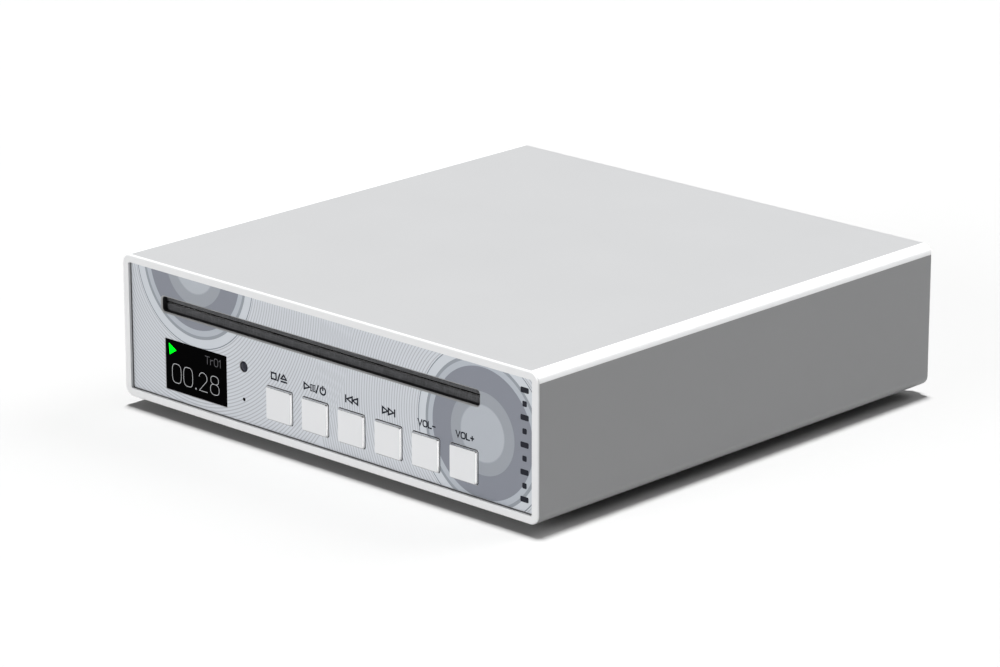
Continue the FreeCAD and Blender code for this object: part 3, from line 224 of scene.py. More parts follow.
class Shell:
    """Collects the sheets of one piece as whole arrays and turns them into a mesh."""

    def __init__(self) -> None:
        """Start with no sheets."""
        self.points: list[np.ndarray] = []
        self.faces: list[np.ndarray] = []
        self.paint: list[np.ndarray] = []
        self.round: list[np.ndarray] = []
        self.count = 0

    def put(self, points: np.ndarray, faces: np.ndarray, paint: int, smooth: bool) -> None:
        """Add a sheet.

        Args:
            points: Its points, (n, 3), in millimetres.
            faces: Indices of its faces' corners, (m, 3) or (m, 4).
            paint: Material index of the faces.
            smooth: Whether they are shaded smooth.
        """
        self.points.append(np.asarray(points, float).reshape(-1, 3))
        self.faces.append(np.asarray(faces, int) + self.count)
        self.paint.append(np.full(len(faces), paint))
        self.round.append(np.full(len(faces), smooth))
        self.count += len(self.points[-1])

    def grid(self, sheet: np.ndarray, paint: int = 0, wrap_rows: bool = False,
             wrap_columns: bool = True, flip: bool = False, smooth: bool = True) -> None:
        """Add a sheet of points on a grid of two parameters.

        Args:
            sheet: The points, (rows, columns, 3).
            paint: Material index.
            wrap_rows: Whether the last row joins the first.
            wrap_columns: Whether the last column joins the first.
            flip: Whether to turn the faces over.
            smooth: Whether the faces are shaded smooth.
        """
        rows, columns = sheet.shape[:2]
        i = np.arange(rows if wrap_rows else rows - 1)
        j = np.arange(columns if wrap_columns else columns - 1)
        i, j = (a.ravel() for a in np.meshgrid(i, j, indexing="ij"))
        i1, j1 = (i + 1) % rows, (j + 1) % columns
        quads = np.stack([i * columns + j, i * columns + j1, i1 * columns + j1,
                          i1 * columns + j], axis=1)
        self.put(sheet.reshape(-1, 3), quads[:, ::-1] if flip else quads, paint, smooth)

    def cap(self, rings: Sequence[np.ndarray], facing: Sequence[float], paint: int = 0) -> None:
        """Close a flat area inside the first ring and outside the others.

        Args:
            rings: Rings of points, (n, 3) each, all in one plane.
            facing: The way that the area faces.
            paint: Material index.
        """
        points = np.vstack(rings)
        loops = [[Vector(p) for p in ring] for ring in rings]
        faces = np.array(tessellate_polygon(loops), int)
        a, b, c = (points[faces[:, k]] for k in range(3))
        wrong = np.cross(b - a, c - a) @ np.asarray(facing, float) < 0
        faces[wrong] = faces[wrong][:, ::-1]
        self.put(points, faces, paint, False)

    def build(self, name: str, body: str, slot: str, finishes: Sequence[bpy.types.Material],
              replaces: Sequence[str] = (), sharp: float = 35.0) -> bpy.types.Object:
        """Weld the sheets into one mesh and put it in the scene.

        Args:
            name: Name of the piece.
            body: CAD body that it rides on.
            slot: Material slot of the record; not used.
            finishes: Its materials, in the order of the paint indices.
            replaces: CAD nodes that it stands for.
            sharp: Angle in degrees past which an edge stays sharp.

        Returns:
            The finished object.
        """
        points = np.vstack(self.points) * MM
        key = np.round(points * WELD_STEPS_PER_METRE).astype(np.int64)
        _, first, place = np.unique(key, axis=0, return_index=True, return_inverse=True)
        place = place.ravel()
        corners, totals, paint, smooth = [], [], [], []
        for faces, tint, soft in zip(self.faces, self.paint, self.round):
            joined = place[faces]
            moves = joined != np.roll(joined, -1, axis=1)
            for width in (3, 4):
                chosen = moves.sum(axis=1) == width
                if chosen.any():
                    corners.append(joined[chosen][moves[chosen]])
                    totals.append(np.full(chosen.sum(), width))
                    paint.append(tint[chosen])
                    smooth.append(soft[chosen])
        corners, totals = np.concatenate(corners), np.concatenate(totals)
        mesh = bpy.data.meshes.new(name)
        mesh.vertices.add(len(first))
        mesh.vertices.foreach_set("co", points[first].astype(np.float32).ravel())
        mesh.loops.add(len(corners))
        mesh.loops.foreach_set("vertex_index", corners.astype(np.int32))
        mesh.polygons.add(len(totals))
        mesh.polygons.foreach_set("loop_start",
                                  (np.cumsum(totals) - totals).astype(np.int32))
        mesh.polygons.foreach_set("material_index", np.concatenate(paint).astype(np.int32))
        mesh.polygons.foreach_set("use_smooth", np.concatenate(smooth))
        mesh.update(calc_edges=True)
        mesh.validate()
        mesh.set_sharp_from_angle(angle=math.radians(sharp))
        for finish in finishes:
            mesh.materials.append(finish)
        piece = bpy.data.objects.new(name, mesh)
        bpy.context.scene.collection.objects.link(piece)
        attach(piece, body)
        if replaces:
            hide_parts(*replaces)
        log.info("%s: %d points, %d faces, on %s", name, len(first), len(totals), body)
        return piece


def upright(ring: np.ndarray, y: float) -> np.ndarray:
    """Stand a flat ring (x, z) up at depth y, as (n, 3) points."""
    return np.stack([ring[:, 0], np.full(len(ring), float(y)), ring[:, 1]], axis=1)


def swept(outline: Outline, profile: Iterable[tuple]) -> np.ndarray:
    """Carry a profile round an upright outline.

    Point (i, j) is outline.ring(inset_i)[j] at depth y_i.

    Args:
        outline: The outline in x and z.
        profile: (inset, y) pairs.

    Returns:
        The sheet, (rows, columns, 3).
    """
    return np.stack([upright(outline.ring(inset), y) for inset, y in profile])


def lathe(profile: Sequence[tuple], centre: Sequence[float], axis: Axis,
          steps: int = 48, lobes: int = 0, lobe_rows: Sequence[int] = ()) -> np.ndarray:
    """Turn a profile about a line.

    Point (i, j) is centre + h_i axis + r_i (cos t_j, sin t_j) with t_j = 2 pi j / steps. Rows in
    lobe_rows have r_i / cos(t mod (2 pi / lobes) - pi / lobes) in place of r_i, which is a
    regular polygon.

    Args:
        profile: (radius, height) pairs.
        centre: Point on the line that heights are counted from.
        axis: The line that it is turned about.
        steps: Columns.
        lobes: Sides of the polygon rows.
        lobe_rows: Which rows are polygons.

    Returns:
        The sheet, (rows, columns, 3).
    """
    radius, height = np.array(profile, float).T
    t = np.linspace(0, 2 * np.pi, steps, endpoint=False)
    reach = np.repeat(radius[:, None], steps, axis=1)
    if lobes:
        flat = 1 / np.cos(np.mod(t, 2 * np.pi / lobes) - np.pi / lobes)
        reach[list(lobe_rows)] *= flat
    a, b = reach * np.cos(t), reach * np.sin(t)
    h = np.repeat(height[:, None], steps, axis=1)
    order = (a, b, h) if axis is Axis.ALONG_Z else (a, h, b)
    return np.stack(order, axis=2) + np.asarray(centre, float)


# --- strokes for signs and digits ----------------------------------------------------------------

def ribbon(shell: Shell, path: np.ndarray, width: float, face: float, thick: float,
           closed: bool = False, paint: int = 0) -> None:
    """Lay a thin flat stroke of ink or light along a path on an upright face.

    At each point the stroke's edge is p +- (width / 2) m with m = (n1 + n2) / (1 + n1 . n2),
    where n1 and n2 are the normals of the two runs that meet there, so corners are mitred.

    Args:
        shell: Where to add it.
        path: (x, z) points.
        width: Width of the stroke.
        face: Depth y of the face that it lies on.
        thick: How far it stands proud.
        closed: Whether the path's end joins its start.
        paint: Material index.
    """
    path = np.asarray(path, float)
    runs = (np.roll(path, -1, axis=0) - path) if closed else np.diff(path, axis=0)
    runs /= np.linalg.norm(runs, axis=1)[:, None]
    normals = np.stack([-runs[:, 1], runs[:, 0]], axis=1)
    if closed:
        before, after = np.roll(normals, 1, axis=0), normals
    else:
        before = np.vstack([normals[:1], normals])
        after = np.vstack([normals, normals[-1:]])
        path = path.copy()
        path[0] -= runs[0] * width / 2
        path[-1] += runs[-1] * width / 2
    dot = np.maximum((before * after).sum(axis=1), -0.6)
    mitre = (before + after) / (1 + dot)[:, None] * width / 2
    left, right = path + mitre, path - mitre
    rows = np.stack([upright(left, face - thick), upright(right, face - thick),
                     upright(right, face), upright(left, face)], axis=1)
    shell.grid(rows, paint, wrap_rows=closed, smooth=False)
    if not closed:
        shell.put(rows[0], [[0, 3, 2, 1]], paint, False)
        shell.put(rows[-1], [[0, 1, 2, 3]], paint, False)


def plate(shell: Shell, ring: np.ndarray, face: float, thick: float, paint: int = 0) -> None:
    """Lay a thin filled shape on an upright face: a front, a back and the rim between them.

    Args:
        shell: Where to add it.
        ring: The shape's outline as (x, z) points, either way round.
        face: Depth y of the face that it lies on.
        thick: How far it stands proud.
        paint: Material index.
    """
    ring = np.asarray(ring, float)
    near, far = upright(ring, face - thick), upright(ring, face)
    turn = ring[:, 0] @ np.roll(ring[:, 1], -1) - ring[:, 1] @ np.roll(ring[:, 0], -1)
    shell.grid(np.stack([near, far]), paint, flip=turn < 0, smooth=False)
    shell.cap([near], (0, -1, 0), paint)
    shell.cap([far], (0, 1, 0), paint)


def oval(x: float, z: float, half_x: float, half_z: float, squareness: float = 2.6,
         steps: int = 40) -> np.ndarray:
    """Work out a closed rounded-square loop.

    Points are (x + half_x sgn(cos t) |cos t|^(2/n), z + half_z sgn(sin t) |sin t|^(2/n)) with
    n = squareness.

    Args:
        x: Middle of the loop along X.
        z: Middle along Z.
        half_x: Half its width.
        half_z: Half its height.
        squareness: The power n; 2 is an ellipse, and more is squarer.
        steps: Points round the loop.

    Returns:
        The (x, z) points.
    """
    t = np.linspace(0, 2 * np.pi, steps, endpoint=False)
    c, s = np.cos(t), np.sin(t)
    power = 2 / squareness
    return np.stack([x + half_x * np.sign(c) * np.abs(c) ** power,
                     z + half_z * np.sign(s) * np.abs(s) ** power], axis=1)


def arc(x: float, z: float, half_x: float, half_z: float, start: float, end: float,
        steps: int = 16) -> np.ndarray:
    """Work out an open arc of an ellipse: (x + half_x cos t, z + half_z sin t).

    Args:
        x: Middle of the ellipse along X.
        z: Middle along Z.
        half_x: Half its width.
        half_z: Half its height.
        start: First angle in degrees.
        end: Last angle in degrees.
        steps: Runs between the points.

    Returns:
        The (x, z) points.
    """
    t = np.radians(np.linspace(start, end, steps + 1))
    return np.stack([x + half_x * np.cos(t), z + half_z * np.sin(t)], axis=1)


# Each letter is a list of strokes in a box one unit high; True marks a closed stroke.
LETTERS: dict[str, tuple[float, list[tuple[list, bool]]]] = {
    "V": (0.86, [([(0, 1), (0.43, 0), (0.86, 1)], False)]),
    "O": (0.9, [([(0.2, 0), (0.7, 0), (0.9, 0.2), (0.9, 0.8), (0.7, 1), (0.2, 1), (0, 0.8),
                  (0, 0.2)], True)]),
    "L": (0.68, [([(0, 1), (0, 0), (0.68, 0)], False)]),
    "T": (0.76, [([(0, 1), (0.76, 1)], False), ([(0.38, 1), (0.38, 0)], False)]),
    "r": (0.5, [([(0, 0.68), (0, 0)], False), ([(0, 0.42), (0.22, 0.66), (0.5, 0.66)], False)]),
    "0": (0.66, [([(0.16, 0), (0.5, 0), (0.66, 0.2), (0.66, 0.8), (0.5, 1), (0.16, 1),
                   (0, 0.8), (0, 0.2)], True)]),
    "1": (0.42, [([(0, 0.76), (0.26, 1), (0.26, 0)], False)]),
    "5": (0.68, [([(0.64, 1), (0.06, 1), (0.02, 0.56), (0.5, 0.6), (0.68, 0.42), (0.68, 0.16),
                   (0.5, 0), (0.14, 0), (0, 0.14)], False)]),
    "R": (0.72, [([(0, 0), (0, 1), (0.54, 1), (0.7, 0.86), (0.7, 0.62), (0.54, 0.48),
                   (0, 0.48)], False), ([(0.4, 0.48), (0.72, 0)], False)]),
    "C": (0.74, [([(0.74, 0.86), (0.58, 1), (0.18, 1), (0, 0.8), (0, 0.2), (0.18, 0),
                   (0.58, 0), (0.74, 0.14)], False)]),
    "A": (0.84, [([(0, 0), (0.42, 1), (0.84, 0)], False), ([(0.17, 0.34), (0.67, 0.34)], False)]),
    "X": (0.74, [([(0, 0), (0.74, 1)], False), ([(0, 1), (0.74, 0)], False)]),
    "P": (0.7, [([(0, 0), (0, 1), (0.54, 1), (0.7, 0.86), (0.7, 0.6), (0.54, 0.46),
                  (0, 0.46)], False)]),
    "I": (0.0, [([(0, 0), (0, 1)], False)]),
    "D": (0.76, [([(0, 0), (0.52, 0), (0.76, 0.24), (0.76, 0.76), (0.52, 1), (0, 1)], True)]),
    "-": (0.62, [([(0.04, 0.46), (0.58, 0.46)], False)]),
    "+": (0.7, [([(0.04, 0.46), (0.66, 0.46)], False), ([(0.35, 0.78), (0.35, 0.14)], False)]),
    " ": (0.3, []),
}


def letter(shell: Shell, text: str, x: float, z: float, tall: float, stroke: float,
           face: float, thick: float, gap: float = 0.26,
           reading: Reading = Reading.FROM_FRONT, paint: int = 0) -> float:
    """Draw plain stroke letters on an upright face.

    Args:
        shell: Where to add them.
        text: The letters.
        x: Left end of the first letter, as it is read.
        z: Foot of the letters.
        tall: Height of the letters.
        stroke: Width of a stroke.
        face: Depth y of the face.
        thick: How far the ink stands proud, below zero on a face that looks back.
        gap: Space between letters as a share of the height.
        reading: Which side the letters are read from.
        paint: Material index.

    Returns:
        Where the text ends.
    """
    place, way = 0.0, reading.value
    for sign in text:
        wide, strokes = LETTERS[sign]
        for points, closed in strokes:
            path = np.array(points, float) * tall
            path = np.stack([x + way * (place + path[:, 0]), z + path[:, 1]], axis=1)
            ribbon(shell, path[::way], stroke, face, thick, closed, paint)
        place += (wide + gap) * tall
    return x + way * place


# --- finishes ------------------------------------------------------------------------------------

class Graph:
    """Short ways to add and join the nodes of one material."""

    def __init__(self, name: str) -> None:
        """Make an empty material with its surface shader.

        Args:
            name: Name of the material.
        """
        self.material = bpy.data.materials.new(name)
        self.material.use_nodes = True
        self.tree = self.material.node_tree
        self.tree.nodes.clear()
        output = self.tree.nodes.new("ShaderNodeOutputMaterial")
        self.shader = self.tree.nodes.new("ShaderNodeBsdfPrincipled")
        self.tree.links.new(self.shader.outputs[0], output.inputs["Surface"])
        self.place = self.tree.nodes.new("ShaderNodeTexCoord").outputs["Object"]

    def feed(self, socket: Socket, value: object) -> None:
        """Join an output to a socket, or set the socket to a number or a colour.

        Args:
            socket: The input that is fed.
            value: An output socket, a number or a colour of three parts.
        """
        if isinstance(value, bpy.types.NodeSocket):
            self.tree.links.new(value, socket)
        elif isinstance(value, (tuple, list)) and len(value) == 3 and socket.type == "RGBA":
            socket.default_value = (*value, 1.0)
        else:
            socket.default_value = value

    def math(self, kind: str, a: object, b: object = 0.0) -> Socket:
        """Add a Math node.

        Args:
            kind: Blender's name of the operation.
            a: First input, a socket or a number.
            b: Second input.

        Returns:
            The result.
        """
        node = self.tree.nodes.new("ShaderNodeMath")
        node.operation = kind
        self.feed(node.inputs[0], a)
        self.feed(node.inputs[1], b)
        return node.outputs[0]

    def noise(self, scale: float, detail: float, rough: float,
              stretch: Optional[Tone] = None) -> Socket:
        """Add a noise on Object coordinates.

        Args:
            scale: Blobs to the metre.
            detail: Octaves.
            rough: Weight of the finer octaves.
            stretch: How the coordinates are scaled along X, Y and Z first.

        Returns:
            The noise's value.
        """
        node = self.tree.nodes.new("ShaderNodeTexNoise")
        node.inputs["Scale"].default_value = scale
        node.inputs["Detail"].default_value = detail
        node.inputs["Roughness"].default_value = rough
        source = self.place
        if stretch:
            shape = self.tree.nodes.new("ShaderNodeMapping")
            shape.inputs["Scale"].default_value = stretch
            self.feed(shape.inputs["Vector"], self.place)
            source = shape.outputs[0]
        self.feed(node.inputs["Vector"], source)
        return node.outputs["Fac"]

    def spread(self, value: Socket, low_in: float, high_in: float, low_out: float,
               high_out: float) -> Socket:
        """Map a value from one range to another, held at its ends.

        Args:
            value: The value.
            low_in: Start of its range.
            high_in: End of its range.
            low_out: What the start becomes.
            high_out: What the end becomes.

        Returns:
            The mapped value.
        """
        node = self.tree.nodes.new("ShaderNodeMapRange")
        for k, number in enumerate((low_in, high_in, low_out, high_out), start=1):
            node.inputs[k].default_value = number
        self.feed(node.inputs[0], value)
        return node.outputs[0]

    def blend(self, share: object, first: object, second: object) -> Socket:
        """Mix two colours.

        Args:
            share: Share of the second colour, a socket or a number.
            first: First colour, a socket or three numbers.
            second: Second colour.

        Returns:
            The mixed colour.
        """
        node = self.tree.nodes.new("ShaderNodeMix")
        node.data_type = "RGBA"
        self.feed(node.inputs[0], share)
        self.feed(node.inputs[6], first)
        self.feed(node.inputs[7], second)
        return node.outputs[2]

    def bump(self, height: Socket, depth: float) -> None:
        """Give the shader a bump.

        Args:
            height: Height of the surface, from 0 to 1.
            depth: What a height of 1 is in metres.
        """
        node = self.tree.nodes.new("ShaderNodeBump")
        node.inputs["Strength"].default_value = 1.0
        node.inputs["Distance"].default_value = depth
        self.feed(node.inputs["Height"], height)
        self.feed(self.shader.inputs["Normal"], node.outputs[0])

    def set(self, **sockets: object) -> None:
        """Set or join the shader's sockets by name, with _ for a space."""
        for name, value in sockets.items():
            self.feed(self.shader.inputs[name.replace("_", " ")], value)


@dataclass(frozen=True)
class Finish:
    """A plain finish with fine grain: slight changes of tone and gloss, and a shallow bump.

    Attributes:
        name: Name of the material.
        tone: Base colour, linear.
        metal: Share of metal.
        rough: Middle roughness.
        uneven: How far tone and roughness stray, as a share.
        grain: Size of the grain in millimetres.
        depth: Depth of the grain in micrometres.
        stretch: How the grain is stretched along X, Y and Z, for brushed or drawn metal.
        sheen: Sheen weight.
        coat: Clear coat weight.
        gloss: Specular level; 0.5 is usual.
        sheen_rough: Roughness of the sheen.
        coat_rough: Roughness of the coat.
    """

    name: str
    tone: Tone
    metal: float = 0.0
    rough: float = 0.5
    uneven: float = 0.06
    grain: float = 0.3
    depth: float = 4.0
    stretch: Optional[Tone] = None
    sheen: float = 0.0
    coat: float = 0.0
    gloss: float = 0.5
    sheen_rough: float = 0.4
    coat_rough: float = 0.08

    def begin(self) -> tuple[Graph, Socket]:
        """Make the graph with its grain, tone, gloss and bump.

        Returns:
            The graph and the grain's value.
        """
        graph = Graph(self.name)
        grain = graph.noise(1 / (self.grain * MM), 3.0, 0.55, self.stretch)
        cloud = graph.noise(CLOUDS_PER_METRE, 3.0, 0.6)
        mixed = graph.math("ADD", graph.math("MULTIPLY", grain, 0.5),
                           graph.math("MULTIPLY", cloud, 0.5))
        dark = tuple(value * (1 - self.uneven) for value in self.tone)
        pale = tuple(min(value * (1 + self.uneven), 1.0) for value in self.tone)
        share = graph.spread(mixed, 0.35, 0.65, 0.0, 1.0)
        stray = 1.5 * self.uneven
        rough = graph.spread(mixed, 0.3, 0.7, self.rough * (1 - stray),
                             min(self.rough * (1 + stray), 1.0))
        graph.set(Base_Color=graph.blend(share, dark, pale), Metallic=self.metal,
                  Roughness=rough, Specular_IOR_Level=self.gloss)
        if self.sheen:
            graph.set(Sheen_Weight=self.sheen, Sheen_Roughness=self.sheen_rough)
        if self.coat:
            graph.set(Coat_Weight=self.coat, Coat_Roughness=self.coat_rough)
        graph.bump(grain, self.depth * MICRON)
        return graph, grain

    def make(self) -> bpy.types.Material:
        """Make the material."""
        return self.begin()[0].material


@dataclass(frozen=True)
class RingPrint(Finish):
    """Satin metal printed with two ring motifs and a family of fine rings round each.

    The colour depends on the distances r1 and r2 from the two centres, which are
    sqrt((x - cx)^2 + (z - cz)^2) on Object coordinates.

    Attributes:
        first: Centre of the first motif, (x, z) in millimetres.
        second: Centre of the second motif.
        bands: The motif's bands as (outer radius, tone), from the centre outwards.
        reach: Radius that the fine rings go out to.
        pitch: Distance from one fine ring to the next.
        line: Width of a fine ring.
        soft: Half the width of a fine ring's edge, as a share of the pitch.
        shift: How much farther out the second motif's fine rings begin.
        crossed: Strength of the fine rings where both families meet.
        ink: Tone of the fine rings.
    """

    first: tuple[float, float] = (0.0, 0.0)
    second: tuple[float, float] = (0.0, 0.0)
    bands: tuple = ()
    reach: float = 64.0
    pitch: float = 0.97
    line: float = 0.29
    soft: float = 0.05
    shift: float = 1.0
    crossed: float = 0.6
    ink: Tone = (0.2, 0.22, 0.26)

    def distance(self, graph: Graph, centre: tuple[float, float]) -> Socket:
        """Work out the distance from a motif's centre in millimetres.

        Args:
            graph: The material's graph.
            centre: The motif's centre, (x, z) in millimetres.

        Returns:
            The distance.
        """
        split = graph.tree.nodes.new("ShaderNodeSeparateXYZ")
        graph.feed(split.inputs[0], graph.place)
        total: object = 0.0
        for k, value in ((0, centre[0]), (2, centre[1])):
            away = graph.math("SUBTRACT", graph.math("MULTIPLY", split.outputs[k], 1 / MM), value)
            total = graph.math("ADD", graph.math("MULTIPLY", away, away), total)
        return graph.math("SQRT", total)

    def make(self) -> bpy.types.Material:
        """Make the material: motif bands near each centre, fine rings out to their reach.

        Returns:
            The material.
        """
        graph, grain = self.begin()
        colour: object = graph.shader.inputs["Base Color"].links[0].from_socket
        edge = self.bands[-1][0]
        r1, r2 = self.distance(graph, self.first), self.distance(graph, self.second)
        ink: object = 0.0
        for r, start in ((r1, edge), (r2, edge + self.shift)):
            turn = graph.math("DIVIDE", graph.math("SUBTRACT", r, start), self.pitch)
            off = graph.math("ABSOLUTE", graph.math("SUBTRACT", graph.math("FRACT", turn), 0.5))
            half = self.line / self.pitch / 2
            mark = graph.spread(off, half - self.soft, half + self.soft, 1.0, 0.0)
            mark = graph.math("MULTIPLY", mark, graph.math("LESS_THAN", r, self.reach))
            ink = graph.math("MAXIMUM", ink, mark)
        for r in (r1, r2):
            ink = graph.math("MULTIPLY", ink, graph.math("GREATER_THAN", r, edge))
        both = graph.math("LESS_THAN", graph.math("MAXIMUM", r1, r2), self.reach)
        ink = graph.math("MULTIPLY", ink, graph.spread(both, 0.0, 1.0, 1.0, self.crossed))
        faded = graph.math("MULTIPLY", ink, graph.spread(grain, 0.3, 0.7, 0.9, 1.0))
        colour = graph.blend(faded, colour, self.ink)
        for r in (r1, r2):
            ramp = graph.tree.nodes.new("ShaderNodeValToRGB")
            ramp.color_ramp.interpolation = "CONSTANT"
            stops = ramp.color_ramp.elements
            inner = 0.0
            for k, (outer, tint) in enumerate(self.bands):
                stop = stops[0] if k == 0 else stops.new(inner / edge)
                stop.position, stop.color = inner / edge, (*tint, 1.0)
                inner = outer
            stops.remove(stops[len(stops) - 1])
            graph.feed(ramp.inputs[0], graph.math("DIVIDE", r, edge))
            colour = graph.blend(graph.math("LESS_THAN", r, edge), colour, ramp.outputs[0])
        graph.feed(graph.shader.inputs["Base Color"], colour)
        return graph.material


@dataclass(frozen=True)
class Light(Finish):
    """A lit sign behind the glass: its own glow, a little uneven from dot to dot.

    Attributes:
        power: Strength of the glow.
    """

    power: float = 1.0

    def make(self) -> bpy.types.Material:
        """Make the material.

        Returns:
            The material.
        """
        graph, grain = self.begin()
        glow = graph.blend(graph.spread(grain, 0.3, 0.7, 0.0, 1.0),
                           tuple(value * 0.9 for value in self.tone), self.tone)
        graph.set(Emission_Color=glow, Emission_Strength=self.power, Base_Color=(0, 0, 0))
        return graph.material


@dataclass(frozen=True)
class Felt(Finish):
    """Short dense felt: fibres from two noises pulled out across each other.

    Attributes:
        along: Fibres to the metre of the family that lies along the strip.
        across: Fibres to the metre of the family that stands across it.
        shade: Tone between the fibres, as a share of the felt's own.
    """

    along: float = 900.0
    across: float = 1100.0
    shade: float = 0.45

    def make(self) -> bpy.types.Material:
        """Make the material.

        Returns:
            The material.
        """
        graph, _ = self.begin()
        fibres = graph.math("MAXIMUM", graph.noise(self.along, 2.0, 0.6, (0.25, 1.0, 3.0)),
                            graph.noise(self.across, 2.0, 0.6, (2.0, 1.0, 0.4)))
        dark = tuple(value * self.shade for value in self.tone)
        graph.set(Base_Color=graph.blend(graph.spread(fibres, 0.4, 0.68, 0.0, 1.0), dark,
                                         self.tone))
        graph.bump(fibres, self.depth * MICRON)
        return graph.material


@dataclass(frozen=True)
class Laminate(Finish):
    """A lacquered circuit board: copper runs under green lacquer, from a brick pattern.

    Attributes:
        copper: Tone of the runs.
        run_wide: Width of the gaps between runs in metres.
        run_long: Length of a run.
        run_pitch: Distance from one run to the next.
        step: Height in metres that the gaps stand out by.
    """

    copper: Tone = (0.026, 0.125, 0.045)
    run_wide: float = 0.00022
    run_long: float = 0.011
    run_pitch: float = 0.0016
    step: float = 30e-6

    def make(self) -> bpy.types.Material:
        """Make the material.

        Returns:
            The material.
        """
        graph, _ = self.begin()
        bricks = graph.tree.nodes.new("ShaderNodeTexBrick")
        for name, value in (("Scale", 1.0), ("Mortar Size", self.run_wide),
                            ("Brick Width", self.run_long), ("Row Height", self.run_pitch),
                            ("Bias", -0.2)):
            bricks.inputs[name].default_value = value
        graph.feed(bricks.inputs["Vector"], graph.place)
        colour = graph.shader.inputs["Base Color"].links[0].from_socket
        graph.set(Base_Color=graph.blend(bricks.outputs["Fac"], colour, self.copper))
        graph.bump(bricks.outputs["Fac"], self.step)
        return graph.material


@dataclass(frozen=True)
class Tinted(Finish):
    """A small coated lens.

    Attributes:
        clear: Share of light that it lets through.
        bend: Index of refraction.
    """

    clear: float = 0.9
    bend: float = 1.5

    def make(self) -> bpy.types.Material:
        """Make the material.

        Returns:
            The material.
        """
        graph, _ = self.begin()
        graph.set(Transmission_Weight=self.clear, IOR=self.bend)
        return graph.material


def linear(level: float) -> float:
    """Turn a display level v of 0 to 255 into a linear value: ((v/255 + 0.055) / 1.055)^2.4."""
    return ((level / 255 + 0.055) / 1.055) ** 2.4


CASE_TONE: Tone = (0.288, 0.290, 0.294)
PRINT_TONE: Tone = (0.472, 0.492, 0.524)


def ring_bands() -> tuple:
    """List the motif's bands, whose tones are shares of the plain print's.

    Returns:
        (outer radius, tone) pairs from the centre outwards.
    """
    base = [linear(level) for level in (203, 207, 213)]
    plan = ((7.9, (174, 179, 186)), (8.2, (162, 167, 174)), (11.8, (150, 155, 162)),
            (18.7, (128, 132, 142)), (20.4, (174, 180, 188)), (21.3, (143, 149, 156)),
            (23.9, (199, 204, 210)), (24.2, (118, 124, 132)))
    return tuple((outer, tuple(PRINT_TONE[k] * linear(level[k]) / base[k] for k in range(3)))
                 for outer, level in plan)


